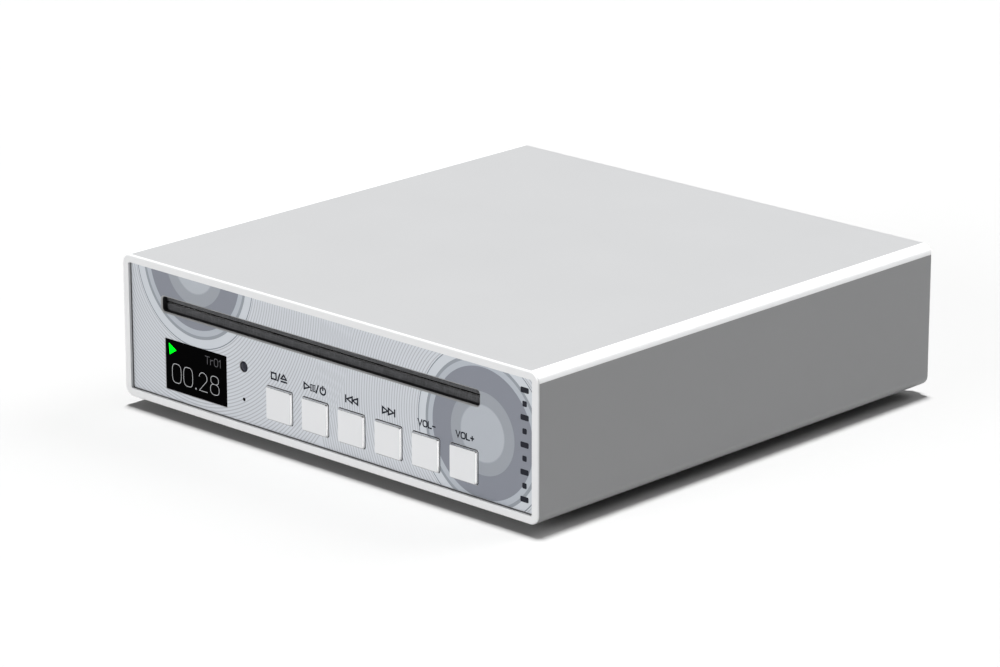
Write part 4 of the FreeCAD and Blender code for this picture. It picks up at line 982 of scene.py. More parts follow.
FINISHES: dict[str, Finish] = {finish.name: finish for finish in (
    Finish("casing_metal", CASE_TONE, 0.07, 0.42, 0.012, 0.22, 2.5,
           gloss=0.25),
    Finish("panel_metal", (0.50, 0.51, 0.525), 0.3, 0.45, 0.012, 0.22, 2.5),
    Finish("key_metal", (0.59, 0.595, 0.605), 0.2, 0.40, 0.012, 0.2, 2.0),
    Finish("window_glass", (0.0006, 0.0006, 0.0007), 0.0, 0.06, 0.05, 2.0, 0.3,
           gloss=0.005),
    Finish("sensor_lens", (0.012, 0.013, 0.022), 0.0, 0.16, 0.05, 1.0, 0.5,
           gloss=0.2),
    Finish("black_plastic", (0.012, 0.012, 0.013), 0.0, 0.5, 0.08, 0.35, 10.0),
    Felt("slot_felt", (0.062, 0.063, 0.067), 0.0, 0.95, 0.1, 0.2, 60.0, None, 0.35),
    Laminate("circuit_board", (0.010, 0.062, 0.026), 0.0, 0.3, 0.1, 0.8, 5.0),
    Finish("chip_plastic", (0.02, 0.02, 0.022), 0.0, 0.55, 0.1, 0.2, 8.0),
    Finish("steel_screw", (0.50, 0.50, 0.51), 0.9, 0.3, 0.08, 0.4, 6.0),
    Finish("steel_sheet", (0.50, 0.51, 0.52), 0.8, 0.38, 0.08, 0.9, 5.0,
           (0.08, 1.0, 1.0)),
    Finish("foot_rubber", (0.018, 0.018, 0.019), 0.0, 0.78, 0.12, 0.4, 25.0),
    Finish("damper_rubber", (0.03, 0.03, 0.036), 0.0, 0.7, 0.1, 0.5, 20.0),
    Finish("gold_plate", (0.78, 0.55, 0.20), 1.0, 0.22, 0.05, 0.3, 2.0),
    Finish("socket_plastic", (0.018, 0.018, 0.02), 0.0, 0.42, 0.1, 0.4, 10.0),
    Finish("capacitor_sleeve", (0.02, 0.03, 0.08), 0.0, 0.3, 0.08, 1.5, 5.0,
           None, 0.0, 0.3),
    Finish("cable_grey", (0.35, 0.36, 0.38), 0.0, 0.5, 0.1, 1.27, 60.0,
           (1.0, 0.01, 0.01)),
    Finish("frame_plastic", (0.03, 0.03, 0.033), 0.0, 0.48, 0.15, 0.3, 15.0,
           (1.0, 0.3, 1.0)),
    Finish("motor_can", (0.55, 0.55, 0.56), 0.95, 0.25, 0.08, 0.6, 5.0,
           (1.0, 1.0, 0.1)),
    Finish("bright_steel", (0.62, 0.62, 0.63), 1.0, 0.14, 0.06, 0.3, 2.0,
           (1.0, 0.2, 1.0)),
    Finish("roller_rubber", (0.035, 0.035, 0.038), 0.0, 0.82, 0.1, 0.3, 30.0),
    Finish("gear_plastic", (0.72, 0.71, 0.66), 0.0, 0.4, 0.04, 0.6, 6.0),
    Finish("hub_plastic", (0.02, 0.02, 0.023), 0.0, 0.28, 0.1, 0.7, 4.0),
    Finish("sledge_plastic", (0.05, 0.05, 0.055), 0.0, 0.45, 0.12, 0.3, 12.0),
    Tinted("lens_glass", (0.55, 0.62, 0.80), 0.0, 0.04, 0.03, 3.0, 0.2),
    # finishes of the pieces made here
    Finish("cut_metal", (0.90, 0.903, 0.907), 1.0, 0.12, 0.02, 0.3, 0.6),
    # painted highlight: a bright copy of the casing metal for its two upper long edges
    Finish("painted_highlight_metal", (0.80, 0.803, 0.808), 0.3, 0.34, 0.01, 0.22, 1.5),
    Finish("lip_metal", (0.30, 0.302, 0.305), 0.2, 0.34, 0.015, 0.2, 1.5),
    # painted shadow: the dark band inside the casing round the front plate
    Finish("painted_shadow_strip", (0.14, 0.14, 0.145), 0.0, 0.7, 0.1, 0.3, 6.0),
    # painted light: a brighter copy of the casing metal, for the casing's front rim
    Finish("painted_light_rim_metal", (0.60, 0.603, 0.607), 0.2, 0.36, 0.01, 0.2, 1.5),
    Finish("slot_black", (0.006, 0.006, 0.007), 0.0, 0.6, 0.1, 0.3, 6.0),
    Finish("legend_ink", (0.003, 0.004, 0.010), 0.0, 0.6, 0.1, 0.2, 3.0,
           gloss=0.2),
    Finish("rear_ink", (0.012, 0.012, 0.014), 0.0, 0.55, 0.1, 0.2, 3.0),
    Light("play_green", (0.0, 0.95, 0.01), gloss=0.0),
    Light("digit_grey", (0.22, 0.225, 0.23), gloss=0.0),
    Light("track_grey", (0.05, 0.05, 0.053), gloss=0.0),
)}


class Finishes:
    """The stock of materials, each made once."""

    def __init__(self) -> None:
        """Start with none made."""
        self.made: dict[str, bpy.types.Material] = {}

    def get(self, *names: str) -> list[bpy.types.Material]:
        """Give the named materials, making those that are new.

        Args:
            names: Their names in FINISHES.

        Returns:
            The materials in the same order.
        """
        for name in names:
            if name not in self.made:
                self.made[name] = FINISHES[name].make()
        return [self.made[name] for name in names]

    def dress_frame(self, record: dict) -> None:
        """Give every CAD node the finish of its slot.

        Args:
            record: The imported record, whose subparts name each node's slot.
        """
        for row in record["subparts"]:
            piece = frame["nodes"][row["node"]]
            mesh = piece.data
            material = self.get(row["material_slot"])[0]
            if not piece.material_slots:
                mesh.materials.append(material)
            for spot in piece.material_slots:
                spot.link = "OBJECT"
                spot.material = material


# --- casing --------------------------------------------------------------------------------------

@dataclass
class Casing:
    """The one-piece metal sleeve with its softened rims; its front rim is a brighter painted-light
    copy of the metal, its two upper long edges carry a painted highlight, and a dark band of painted
    shadow runs round the plate.

    Attributes:
        wall: Thickness of the wall.
        corner: Radius of the four long edges.
        outer_rim: Radius of the outer rims, front and back.
        inner_rim: Radius of the inner rims.
        hold: Width of the flat cell next to a rim, which keeps its shading crisp.
        shadow_band: Where the dark band of painted shadow starts and ends behind the front rim.
        run: Where the wall's even rows start behind the front rim.
        rows: Rows along the wall.
        arc_steps: Arc steps in each long edge.
        lead: Length of the short cell next to each long edge.
    """

    wall: float = 2.4
    corner: float = 3.0
    outer_rim: float = 0.45
    inner_rim: float = 0.12
    hold: float = 0.12
    shadow_band: tuple[float, float] = (0.8, 1.4)
    run: float = 2.0
    rows: int = 12
    arc_steps: int = 10
    lead: float = 0.2

    def build(self, stock: Finishes) -> None:
        """Sweep the wall's section round the casing's outline.

        The section is (inset, y): round the front rim, back along the inside past the band of
        painted shadow, round the rear rim and forwards along the outside.

        Args:
            stock: The stock of materials.
        """
        outline = outline_of("sleeve", self.corner, self.arc_steps, self.lead)
        front, back = low("sleeve")[1], high("sleeve")[1]
        along = np.linspace(front + self.run, back - self.run, self.rows)
        near = rounding(self.outer_rim, 0.0, 0.0, 5)
        inner = rounding(-self.inner_rim, self.wall, 0.0, 4)
        near += [(self.outer_rim + self.hold, 0.0)]
        inner += [(self.wall - self.inner_rim - self.hold, 0.0)]
        section = [(o, front + d) for o, d in near]
        section += [(o, front + d) for o, d in inner[::-1]]
        section += [(self.wall, front + depth) for depth in self.shadow_band]
        section += [(self.wall, y) for y in along]
        section += [(o, back - d) for o, d in inner]
        section += [(o, back - d) for o, d in near[::-1]]
        section += [(0.0, y) for y in along[::-1]]
        sheet = swept(outline, section)
        cut = len(near) + len(inner)
        shell = Shell()
        # the front rim and the inside behind it take the brighter painted-light copy of the casing
        # metal
        shell.grid(sheet[:cut + 1], CasingPaint.PAINTED_LIGHT_RIM, flip=True)
        # a dark strip of painted shadow on the inner wall round the plate
        shell.grid(sheet[cut:cut + 2], CasingPaint.PAINTED_SHADOW, flip=True)
        skin = np.concatenate([sheet[cut + 1:], sheet[:1]])
        share = skin.shape[1] // 4
        # the two upper long edges get a painted highlight; the two lower ones stay plain casing
        # metal
        upper, lower = CasingPaint.PAINTED_HIGHLIGHT, CasingPaint.METAL
        for k, paint in enumerate((upper, upper, lower, lower)):
            columns = np.arange(k * share, (k + 1) * share + 2) % skin.shape[1]
            shell.grid(skin[:, columns[1:share - 1]], paint, wrap_columns=False, flip=True)
            shell.grid(skin[:, columns[share - 2:]], CasingPaint.METAL, wrap_columns=False,
                       flip=True)
        shell.build("casing_sleeve", "case", "casing_metal",
                    stock.get("casing_metal", "painted_light_rim_metal", "painted_highlight_metal", "painted_shadow_strip"),
                    ["sleeve"])


# --- front ---------------------------------------------------------------------------------------

@dataclass
class Front:
    """The printed front plate, its window, sensor, slot felts and printed signs.

    Attributes:
        rim: Radius of the plate's rim.
        corner: Radius of the plate's corners.
        thick: Thickness of the plate.
        slot_lip: Radius of the lip round the disc slot.
        hole_lip: Radius of the lip round the window, the keys and the sensor.
        ink_thick: How far ink and light stand proud.
        first_motif: Centre of the left ring motif, (x, z).
        second_motif: Centre of the right ring motif.
        slot_half: Half the slot's width and height.
        window_gap: Gap round the window.
        key_gap: Gap round a key.
        sensor_hole: Radius of the sensor's hole.
        pinhole: Radius of the reset pinhole.
        pinhole_drop: How far the pinhole is below the sensor.
        legend_foot: Foot of the transport signs.
        legend_head: Head of the transport signs.
        legend_stroke: Width of their strokes.
        thin_stroke: Width of the two small bars' strokes.
        digit_stroke: Width of the time's strokes.
        scale_count: Marks in the column.
        scale_inset: Inset of the column from the plate's right edge.
        scale_end: Inset of the first and last marks from the plate's ends.
        keys: The keys from left to right.
        face: Depth y of the plate's face.
    """

    rim: float = 0.18
    corner: float = 0.7
    thick: float = 1.8
    slot_lip: float = 0.4
    hole_lip: float = 0.12
    ink_thick: float = 0.012
    first_motif: tuple[float, float] = (-52.64, 47.8)
    second_motif: tuple[float, float] = (60.6, 24.4)
    slot_half: tuple[float, float] = (63.0, 2.2)
    window_gap: float = 0.05
    key_gap: float = 0.14
    sensor_hole: float = 1.55
    pinhole: float = 0.48
    pinhole_drop: float = 9.7
    legend_foot: float = 21.5
    legend_head: float = 23.3
    legend_stroke: float = 0.52
    thin_stroke: float = 0.3
    digit_stroke: float = 0.18
    scale_count: int = 9
    scale_inset: float = 3.35
    scale_end: float = 3.6
    keys: Sequence[str] = ("stop", "play", "previous", "next", "volume_down", "volume_up")
    face: float = field(init=False)

    def __post_init__(self) -> None:
        """Read where the plate's face is."""
        self.face = float(low("front_panel")[1])

    def slot_middle(self) -> tuple[float, float]:
        """Give the middle of the slot from the gap between the felts."""
        z = (high("felt_lower")[2] + low("felt_upper")[2]) / 2
        return float(middle("felt_lower")[0]), float(z)

    def holes(self) -> list[tuple[Outline, float, PlatePaint]]:
        """List the plate's holes, whose walls are all black.

        Returns:
            (outline, radius of the lip, the lip's paint) of each hole.
        """
        x, z = self.slot_middle()
        found = [(Outline(x, z, *self.slot_half, 1.0, 6), self.slot_lip, PlatePaint.LIP)]
        glass = (high("display_window") - low("display_window")) / 2 + self.window_gap
        at = middle("display_window")
        found.append((Outline(at[0], at[2], glass[0], glass[2], 0.15, 3), self.hole_lip,
                      PlatePaint.LIP))
        for key in self.keys:
            at = middle("button_" + key)
            hole = Outline(at[0], at[2], Keys.half_x + self.key_gap, Keys.half_z + self.key_gap,
                           Keys.corner, 5)
            found.append((hole, self.hole_lip, PlatePaint.LIP))
        x, z = middle("sensor_window")[[0, 2]]
        found.append((circle(x, z, self.sensor_hole, 10), self.hole_lip, PlatePaint.LIP))
        found.append((circle(x, z - self.pinhole_drop, self.pinhole, 5), 0.06,
                      PlatePaint.BLACK))
        return found

    def build_plate(self, stock: Finishes) -> None:
        """Build the plate: a printed face, lips round every hole, walls and a plain back.

        A lip is (-lip s, face + lip (1 - s)^1.4) as (inset, y), for s from 1 down to 0.

        Args:
            stock: The stock of materials.
        """
        back = self.face + self.thick
        outline = outline_of("front_panel", self.corner, 5)
        shell = Shell()
        section = [(o, self.face + d) for o, d in rounding(self.rim, 0.0, 0.0, 3)[::-1]]
        shell.grid(swept(outline, section + [(0.0, back)]), PlatePaint.LIP)
        faces, backs = [swept(outline, section[:1])[0]], [upright(outline.ring(), back)]
        for hole, lip, lip_paint in self.holes():
            cut = [(-lip * share, self.face + lip * (1 - share) ** 1.4)
                   for share in (1.0, 0.72, 0.4, 0.0)]
            shell.grid(swept(hole, cut), lip_paint, flip=True)
            shell.grid(swept(hole, [cut[-1], (0.0, back)]), PlatePaint.BLACK, flip=True)
            faces.append(swept(hole, cut[:1])[0])
            backs.append(upright(hole.ring(), back))
        shell.cap(faces, (0, -1, 0), PlatePaint.PRINT)
        shell.cap(backs, (0, 1, 0), PlatePaint.LIP)
        print_finish = RingPrint("ring_print", PRINT_TONE, 0.3, 0.45, 0.012, 0.22, 2.0,
                                 first=self.first_motif, second=self.second_motif,
                                 bands=ring_bands(), ink=tuple(v * 0.66 for v in PRINT_TONE))
        stock.made["ring_print"] = print_finish.make()
        shell.build("front_plate", "case", "panel_metal",
                    stock.get("ring_print", "lip_metal", "slot_black"), ["front_panel"])

    def build_window(self, stock: Finishes) -> None:
        """Build the black window with a fine polished edge.

        Args:
            stock: The stock of materials.
        """
        front, back, edge = low("display_window")[1], high("display_window")[1], 0.12
        outline = outline_of("display_window", edge, 3)
        section = [(o, front + d) for o, d in rounding(edge, 0.0, 0.0, 3)[::-1]]
        shell = Shell()
        shell.grid(swept(outline, section + [(0.0, back)]))
        shell.cap([swept(outline, section[:1])[0]], (0, -1, 0))
        shell.cap([upright(outline.ring(), back)], (0, 1, 0))
        shell.build("display_glass", "case", "window_glass", stock.get("window_glass"),
                    ["display_window"])

    def build_reading(self, stock: Finishes) -> None:
        """Draw what the display shows: a play sign, the track and the elapsed time.

        Places are counted from the window's lower left corner.

        Args:
            stock: The stock of materials.
        """
        x, face, z = low("display_window")
        stroke = self.digit_stroke
        sign = Shell()
        plate(sign, np.array([(1.45, 14.0), (1.75, 10.6), (4.55, 12.3)]) + (x, z), face,
              self.ink_thick)
        sign.build("play_light", "case", "window_glass", stock.get("play_green"))
        time = Shell()
        for left, wide in ((2.65, 3.75), (7.45, 3.8)):
            ribbon(time, oval(x + left + wide / 2, z + 5.35, wide / 2, 2.85, 3.2), stroke, face,
                   self.ink_thick, True)
        plate(time, oval(x + 12.55, z + 2.62, 0.27, 0.27, 2, 12), face, self.ink_thick)
        two = np.vstack([arc(x + 15.65, z + 6.45, 1.65, 1.6, 168, -28, 18),
                         np.array([(x + 14.0, z + 2.5), (x + 17.35, z + 2.5)])])
        ribbon(time, two, stroke, face, self.ink_thick)
        for loop in (oval(x + 20.5, z + 6.85, 1.6, 1.22), oval(x + 20.5, z + 4.06, 1.8, 1.56)):
            ribbon(time, loop, stroke, face, self.ink_thick, True)
        time.build("time_light", "case", "window_glass", stock.get("digit_grey"))
        track = Shell()
        letter(track, "Tr01", x + 16.75, z + 11.15, 2.25, 0.2, face, self.ink_thick, 0.2)
        track.build("track_light", "case", "window_glass", stock.get("track_grey"))

    def build_sensor(self, stock: Finishes) -> None:
        """Turn the remote-control window: a dark bead with a low dome.

        At radius r the dome lies 0.28 (r / bead)^2 millimetres behind its top.

        Args:
            stock: The stock of materials.
        """
        at, bead, pole = middle("sensor_window"), 1.5, 0.02
        front, back = low("sensor_window")[1], high("sensor_window")[1]
        profile = [(r, front + 0.28 * (r / bead) ** 2) for r in np.linspace(pole, bead - 0.05, 8)]
        profile += [(bead, front + 0.36), (bead, back), (pole, back)]
        shell = Shell()
        sheet = lathe(profile, (at[0], 0, at[2]), Axis.ALONG_Y, 40)
        shell.grid(sheet)
        shell.cap([sheet[0]], (0, -1, 0))
        shell.cap([sheet[-1]], (0, 1, 0))
        shell.build("sensor_bead", "case", "sensor_lens", stock.get("sensor_lens"),
                    ["sensor_window"])

    def build_felts(self, stock: Finishes) -> None:
        """Carry a round-edged strip along the slot and fray its free edge a little.

        The section is a rounded box. The free edge wanders outwards by 0.05 w millimetres, where
        w = (sin 5.1 x + sin (2.3 x + side) + seeded noise) / 3 and is never below 0, and the
        wander dies out 0.9 millimetres from the edge.

        Args:
            stock: The stock of materials.
        """
        rng = np.random.default_rng(7)
        for name, side in (("felt_upper", 1), ("felt_lower", -1)):
            bottom, top = low(name), high(name)
            steps, half = 420, 2.1
            x = np.linspace(bottom[0], top[0], steps)
            near = bottom[2] if side > 0 else top[2]
            box = Outline((bottom[1] + top[1]) / 2, 0.0, (top[1] - bottom[1]) / 2, half, 0.35, 4)
            ring = box.ring(0.02)
            height = near + side * (ring[:, 1] + half)
            edge = np.clip(1 - np.abs(height - near) / 0.9, 0, 1)
            wander = (np.sin(5.1 * x) + np.sin(2.3 * x + side) + rng.normal(0, 1, steps)) / 3
            z = height[None, :] + side * 0.05 * np.clip(wander, 0, None)[:, None] * edge[None, :]
            y = np.repeat(ring[None, :, 0], steps, axis=0)
            sheet = np.stack([np.repeat(x[:, None], len(ring), axis=1), y, z], axis=2)
            shell = Shell()
            shell.grid(sheet, flip=side < 0)
            shell.cap([sheet[0]], (-1, 0, 0))
            shell.cap([sheet[-1]], (1, 0, 0))
            shell.build(name + "_strip", "case", "slot_felt", stock.get("slot_felt"), [name])

    def build_legends(self, stock: Finishes) -> None:
        """Print the usual transport signs and volume marks over the keys.

        Args:
            stock: The stock of materials.
        """
        shell, face, thick, stroke = Shell(), self.face, self.ink_thick, self.legend_stroke

        def line(x: float, *points: tuple[float, float], closed: bool = True) -> None:
            """Print one stroke from points counted from a key's middle."""
            ribbon(shell, np.array(points) + (x, 0.0), stroke, face, thick, closed)

        at = {key: float(middle("button_" + key)[0]) for key in self.keys}
        foot, head = self.legend_foot, self.legend_head
        half = (foot + head) / 2
        x = at["stop"]
        line(x, (-3.3, foot), (-1.4, foot), (-1.4, head), (-3.3, head))
        line(x, (-0.75, foot - 0.1), (0.15, head + 0.2), closed=False)
        line(x, (0.65, foot + 0.8), (2.75, foot + 0.8), (1.7, head + 0.25))
        line(x, (0.65, foot), (2.75, foot), closed=False)
        x = at["play"]
        line(x, (-4.45, foot), (-2.3, half), (-4.45, head))
        for bar in (-1.85, -0.72):
            box = np.array([(bar, foot), (bar + 0.6, foot), (bar + 0.6, head), (bar, head)])
            ribbon(shell, box + (x, 0.0), self.thin_stroke, face, thick, True)
        line(x, (0.35, foot - 0.1), (1.15, head + 0.2), closed=False)
        ribbon(shell, arc(x + 3.0, half, 1.08, 1.05, 125, 415, 22), stroke, face, thick)
        line(x, (3.0, half + 0.3), (3.0, head + 0.4), closed=False)
        for key, way, bases in (("previous", -1, (0.2, 2.35)), ("next", 1, (-2.35, -0.1))):
            for base in bases:
                line(at[key], (base, foot), (base + 2.05 * way, half), (base, head))
            line(at[key], (2.35 * way, foot), (2.35 * way, head), closed=False)
        for key, sign in (("volume_down", "VOL-"), ("volume_up", "VOL+")):
            letter(shell, sign, at[key] - 3.05, 21.3, 1.65, 0.42, face, thick, 0.29)
        shell.build("key_legends", "case", "panel_metal", stock.get("legend_ink"))

    def build_scale(self, stock: Finishes) -> None:
        """Print a plain column of rounded marks, long and short by turns, near the right edge.

        Args:
            stock: The stock of materials.
        """
        bottom, top = low("front_panel"), high("front_panel")
        shell, short, long = Shell(), 0.8, 1.5
        rows = np.linspace(bottom[2] + self.scale_end, top[2] - self.scale_end, self.scale_count)
        for k, z in enumerate(rows):
            mark = Outline(top[0] - self.scale_inset, z, short if k % 2 else long, short, 0.35, 4)
            plate(shell, mark.ring(), self.face, self.ink_thick)
        shell.build("edge_scale", "case", "panel_metal", stock.get("legend_ink"))

    def build(self, stock: Finishes) -> None:
        """Build every piece of the front.

        Args:
            stock: The stock of materials.
        """
        self.build_plate(stock)
        self.build_window(stock)
        self.build_reading(stock)
        self.build_sensor(stock)
        self.build_felts(stock)
        self.build_legends(stock)
        self.build_scale(stock)


@dataclass
class Keys:
    """The six square keys: cap with a cut bevel, rim behind the plate, and pin.

    Attributes:
        half_x: Half a cap's width.
        half_z: Half its height.
        corner: Radius of its corners.
        bevel: Inset and depth of the cut bevel.
        rim: How far the rim stands out round the cap.
        rim_thick: Thickness of the rim.
        pin: Radius of the pin.
        rim_front: Depth y of the rim's front.
    """

    half_x: float = 5.05
    half_z: float = 4.85
    corner: float = 0.6
    bevel: tuple[float, float] = (0.28, 0.62)
    rim: float = 0.75
    rim_thick: float = 0.8
    pin: float = 1.5
    rim_front: float = -85.1

    def build(self, stock: Finishes, names: Sequence[str]) -> None:
        """Sweep each key's section round its outline and close its face, rim and pin.

        Args:
            stock: The stock of materials.
            names: The keys from left to right.
        """
        rim_back = self.rim_front + self.rim_thick
        cut, deep = self.bevel
        for name in names:
            node = "button_" + name
            at, front, back = middle(node), low(node)[1], high(node)[1]
            cap = Outline(at[0], at[2], self.half_x, self.half_z, self.corner, 5)
            face = [(cut + 0.05, front), (cut + 0.015, front + 0.008), (cut - 0.015, front + 0.04)]
            slope = [(0.015, front + deep - 0.03), (0.0, front + deep + 0.02)]
            shell = Shell()
            shell.grid(swept(cap, face), KeyPaint.FACE)
            shell.grid(swept(cap, [face[-1], slope[0]]), KeyPaint.CUT)
            shell.grid(swept(cap, slope + [(0.0, self.rim_front)]), KeyPaint.CUT)
            shell.cap([swept(cap, face[:1])[0]], (0, -1, 0))
            wide = Outline(at[0], at[2], self.half_x + self.rim, self.half_z + self.rim,
                           self.corner, 5)
            shell.cap([upright(wide.ring(), self.rim_front), upright(cap.ring(), self.rim_front)],
                      (0, -1, 0))
            shell.grid(swept(wide, [(0.0, self.rim_front), (0.0, rim_back)]))
            stem = circle(at[0], at[2], self.pin, 6)
            shell.cap([upright(wide.ring(), rim_back), upright(stem.ring(), rim_back)],
                      (0, 1, 0))
            shell.grid(swept(stem, [(0.0, rim_back), (0.0, back - 0.2), (0.2, back)]))
            shell.cap([upright(stem.ring(0.2), back)], (0, 1, 0))
            shell.build("key_cap_" + name, "key_" + name, "key_metal",
                        stock.get("key_metal", "cut_metal"), [node], 20.0)


# --- underside -----------------------------------------------------------------------------------

@dataclass
class Feet:
    """The four rubber feet with a grooved sole round the screw's well.

    Attributes:
        radius: Radius of a foot.
        bore: Radius of the screw's well.
        floor: Height of the well's floor.
        hole: Radius of the screw's hole.
        rim: Radius of the sole's rim.
        grooves: Inner radii of the sole's grooves.
        groove_deep: Depth of a groove.
    """

    radius: float = 7.0
    bore: float = 3.2
    floor: float = 1.2
    hole: float = 1.7
    rim: float = 0.6
    grooves: tuple[float, float] = (4.3, 5.5)
    groove_deep: float = 0.25

    def build(self, stock: Finishes) -> None:
        """Turn the foot's section about each foot's middle.

        The section is (radius, height): out of the well, over the sole and up the side. The rim
        is (radius - rim + rim sin t, rim (1 - cos t)) for t from 20 to 90 degrees.

        Args:
            stock: The stock of materials.
        """
        bottom, top = low("feet"), high("feet")
        tall, deep = top[2], self.groove_deep
        x = np.array([bottom[0] + self.radius, top[0] - self.radius])
        y = np.array([bottom[1] + self.radius, top[1] - self.radius])
        profile = [(self.hole, self.floor), (self.bore, self.floor), (self.bore, 0.1),
                   (self.bore + 0.1, 0.0)]
        for r in self.grooves:
            profile += [(r, 0.0), (r + 0.15, deep), (r + 0.45, deep), (r + 0.6, 0.0)]
        t = np.radians(np.linspace(20, 90, 5))
        profile += [(self.radius - self.rim + self.rim * math.sin(a),
                     self.rim * (1 - math.cos(a))) for a in t]
        profile += [(self.radius, tall - 0.3), (self.radius - 0.12, tall), (self.hole, tall)]
        shell = Shell()
        for fx in x:
            for fy in y:
                shell.grid(lathe(profile, (fx, fy, 0.0), Axis.ALONG_Z, 56), wrap_rows=True)
        shell.build("rubber_feet", "case", "foot_rubber", stock.get("foot_rubber"), ["feet"])


# --- rear ----------------------------------------------------------------------------------------

@dataclass
class Rear:
    """The rear plate's fittings: gold barrels, socket screws and plain labels.

    Attributes:
        sockets: Middles of the phono sockets along X: left, right and digital.
        barrel: Radius of a barrel.
        barrel_wall: Thickness of its wall.
        grooves: Where its two grooves are, counted from its mouth.
        flange: Radius of its flange.
        flange_thick: Thickness of its flange.
        head: Radius of a screw's head.
        head_tall: Height of the head.
        hexagon: Half the width across flats of its recess.
        label_tall: Height of the labels.
        label_drop: Gap between the sockets and the labels.
        label_stroke: Width of their strokes.
        label_gap: Space between letters as a share of the height.
        ink_thick: How far they stand proud.
    """

    sockets: tuple[float, float, float] = (-52.0, -38.0, -22.0)
    barrel: float = 4.15
    barrel_wall: float = 0.6
    grooves: tuple[float, float] = (3.4, 2.2)
    flange: float = 5.4
    flange_thick: float = 0.6
    head: float = 2.6
    head_tall: float = 1.5
    hexagon: float = 1.25
    label_tall: float = 2.0
    label_drop: float = 0.9
    label_stroke: float = 0.36
    label_gap: float = 0.3
    ink_thick: float = 0.012

    def build_barrels(self, stock: Finishes) -> None:
        """Turn each barrel: flange, two fine grooves and a rounded mouth.

        The mouth is (barrel - lip + lip cos t, end - lip + lip sin t) for t over a half turn,
        where lip is half the wall.

        Args:
            stock: The stock of materials.
        """
        start, end = low("phono_barrels")[1], high("phono_barrels")[1]
        z = middle("phono_barrels")[2]
        root = high("rear_panel")[1]
        collar, out, soft = root + self.flange_thick, self.barrel, 0.1
        profile = [(out - self.barrel_wall, start), (out, start), (out, root),
                   (self.flange - soft, root), (self.flange, root + soft),
                   (self.flange, collar - soft), (self.flange - soft, collar), (out, collar)]
        for y in (end - groove for groove in self.grooves):
            profile += [(out, y - 0.15), (out - 0.12, y), (out - 0.12, y + 0.15), (out, y + 0.3)]
        t = np.linspace(0, np.pi, 9)
        lip = self.barrel_wall / 2
        profile += [(out - lip + lip * math.cos(a), end - lip + lip * math.sin(a)) for a in t]
        shell = Shell()
        for x in self.sockets:
            shell.grid(lathe(profile, (x, 0.0, z), Axis.ALONG_Y, 64), wrap_rows=True, flip=True)
        shell.build("gold_barrels", "case", "gold_plate", stock.get("gold_plate"),
                    ["phono_barrels"])

    def build_screws(self, stock: Finishes) -> None:
        """Turn the four socket-head screws, each with a six-sided recess.

        The head is (head cos^0.6 t, head_tall sin^0.9 t) as (radius, height) for t from 0 to 80
        degrees.

        Args:
            stock: The stock of materials.
        """
        bottom, top = low("rear_screws"), high("rear_screws")
        face = top[1] - self.head_tall
        t = np.radians(np.linspace(0, 80, 7))
        dome = [(self.head * math.cos(a) ** 0.6, face + self.head_tall * math.sin(a) ** 0.9)
                for a in t]
        edge = dome[-1][0]
        shank, pole = 1.2, 0.02
        rows = [(pole, bottom[1]), (shank, bottom[1]), (shank, face), (self.head - 0.05, face)]
        rows += dome + [(max(edge - 0.15, self.hexagon * 1.25), top[1])]
        start = len(rows)
        rows += [(self.hexagon, top[1]), (self.hexagon, top[1] - 1.0), (pole, top[1] - 1.25)]
        shell = Shell()
        for x in (bottom[0] + self.head, top[0] - self.head):
            for z in (bottom[2] + self.head, top[2] - self.head):
                sheet = lathe(rows, (x, 0.0, z), Axis.ALONG_Y, 48, 6, (start, start + 1))
                shell.grid(sheet, flip=True)
                shell.cap([sheet[0]], (0, -1, 0))
                shell.cap([sheet[-1]], (0, 1, 0))
        shell.build("socket_screws", "case", "steel_screw", stock.get("steel_screw"),
                    ["rear_screws"], 30.0)

    def build_labels(self, stock: Finishes) -> None:
        """Print plain labels in one row under the sockets, read from behind.

        Args:
            stock: The stock of materials.
        """
        face = float(high("rear_panel")[1])
        lowest = min(low(name)[2] for name in ("optical_socket", "power_inlet", "phono_barrels"))
        shell, z = Shell(), float(lowest) - self.label_drop - self.label_tall
        places = (*self.sockets, middle("optical_socket")[0], middle("power_inlet")[0])
        for text, x in zip(("L", "R", "COAX", "OPTICAL", "DC 5V"), places):
            wide = sum(LETTERS[sign][0] + self.label_gap for sign in text) * self.label_tall
            letter(shell, text, x + wide / 2, z, self.label_tall, self.label_stroke, face,
                   -self.ink_thick, self.label_gap, Reading.FROM_BEHIND)
        shell.build("rear_labels", "case", "casing_metal", stock.get("rear_ink"))

    def build(self, stock: Finishes) -> None:
        """Build every fitting of the rear.

        Args:
            stock: The stock of materials.
        """
        self.build_barrels(stock)
        self.build_screws(stock)
        self.build_labels(stock)


# --- studio --------------------------------------------------------------------------------------

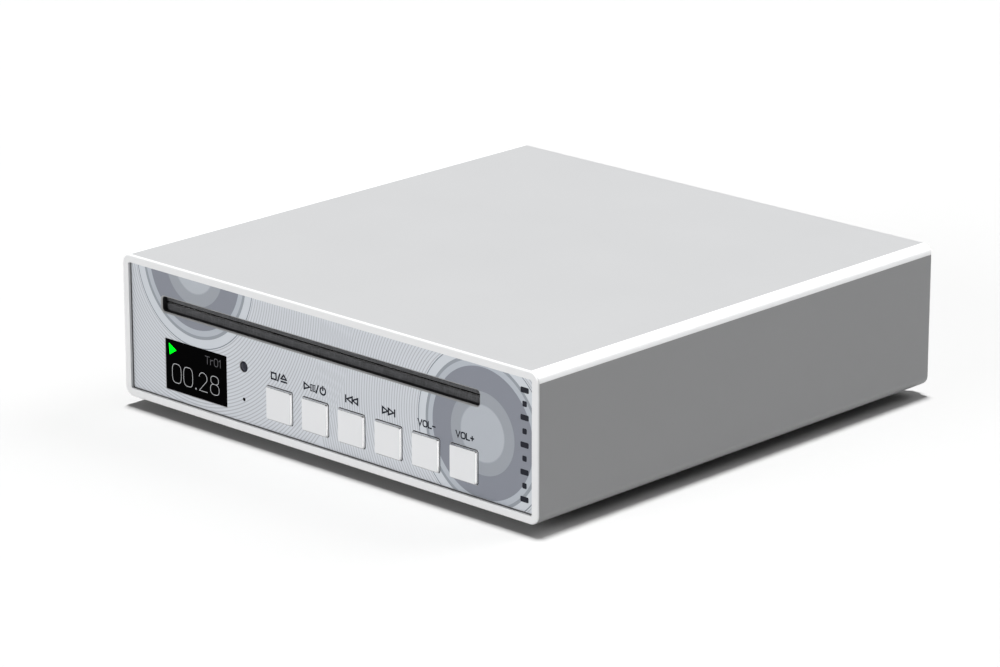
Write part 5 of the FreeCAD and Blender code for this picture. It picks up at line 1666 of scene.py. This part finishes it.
@dataclass
class Studio:
    """A plain pale floor, light from the front, above and behind, and the camera.

    Attributes:
        floor_tone: Tone of the floor.
        floor_half: Half the floor's side in metres.
        sky: Strength of the even light from all round.
        over: Strength of the light from above.
        key: Strength of the low light from the front.
        back: Strength of the light from behind.
        turn: Turn of the camera about Z in degrees.
        rise: How far it looks down in degrees.
        lens: Focal length in millimetres.
        film: Width of its film in millimetres.
        far: How far it sees in metres.
        stand: Where it stands in metres.
    """

    floor_tone: Tone = (0.355, 0.355, 0.355)
    floor_half: float = 12.0
    sky: float = 0.18
    over: float = 6.9
    key: float = 2.3
    back: float = 1.2
    turn: float = 43.555
    rise: float = 17.50
    lens: float = 157.3
    film: float = 36.0
    far: float = 50.0
    stand: Tone = (0.8282, -0.8875, 0.4022)

    def sun(self, name: str, towards: Sequence[float], power: float, soft: float) -> None:
        """Hang a wide soft light.

        Args:
            name: Its name.
            towards: Direction from the player to the light.
            power: Its strength.
            soft: Its width as an angle in degrees.
        """
        lamp = bpy.data.lights.new(name, "SUN")
        lamp.energy, lamp.angle = power, math.radians(soft)
        holder = bpy.data.objects.new(name, lamp)
        holder.rotation_euler = Vector(towards).to_track_quat("Z", "Y").to_euler()
        bpy.context.scene.collection.objects.link(holder)

    def build(self) -> None:
        """Build the floor, the lights and the camera."""
        scene = bpy.context.scene
        mesh = bpy.data.meshes.new("studio_floor")
        side = self.floor_half
        mesh.from_pydata([(-side, -side, 0), (side, -side, 0), (side, side, 0),
                          (-side, side, 0)], [], [(0, 1, 2, 3)])
        paper = Finish("studio_paper", self.floor_tone, 0.0, 0.9, 0.002, 5.0, 0.0)
        mesh.materials.append(paper.make())
        floor = bpy.data.objects.new("studio_floor", mesh)
        scene.collection.objects.link(floor)
        world = bpy.data.worlds.new("studio_sky")
        world.use_nodes = True
        sky = world.node_tree.nodes["Background"]
        sky.inputs["Color"].default_value = (1.0, 1.0, 1.0, 1.0)
        sky.inputs["Strength"].default_value = self.sky
        scene.world = world
        self.sun("over_light", (-0.03, 0.02, 1.0), self.over, 5.0)
        self.sun("key_light", (-0.20, -1.0, 0.22), self.key, 30.0)
        self.sun("back_light", (0.30, 0.69, 0.66), self.back, 34.0)
        camera = bpy.data.cameras.new("camera")
        camera.lens, camera.sensor_width, camera.clip_end = self.lens, self.film, self.far
        holder = bpy.data.objects.new("camera", camera)
        holder.location = self.stand
        holder.rotation_euler = (math.radians(90 - self.rise), 0.0, math.radians(self.turn))
        scene.collection.objects.link(holder)
        scene.camera = holder
        scene.view_settings.view_transform = "Standard"


def main() -> None:
    """Build the player and its surroundings."""
    logging.basicConfig(level=logging.INFO, format="%(name)s: %(message)s")
    stock = Finishes()
    stock.dress_frame(frame["record"])
    front = Front()
    Casing().build(stock)
    front.build(stock)
    Keys().build(stock, front.keys)
    Feet().build(stock)
    Rear().build(stock)
    Studio().build()


if __name__ == "__main__":
    main()
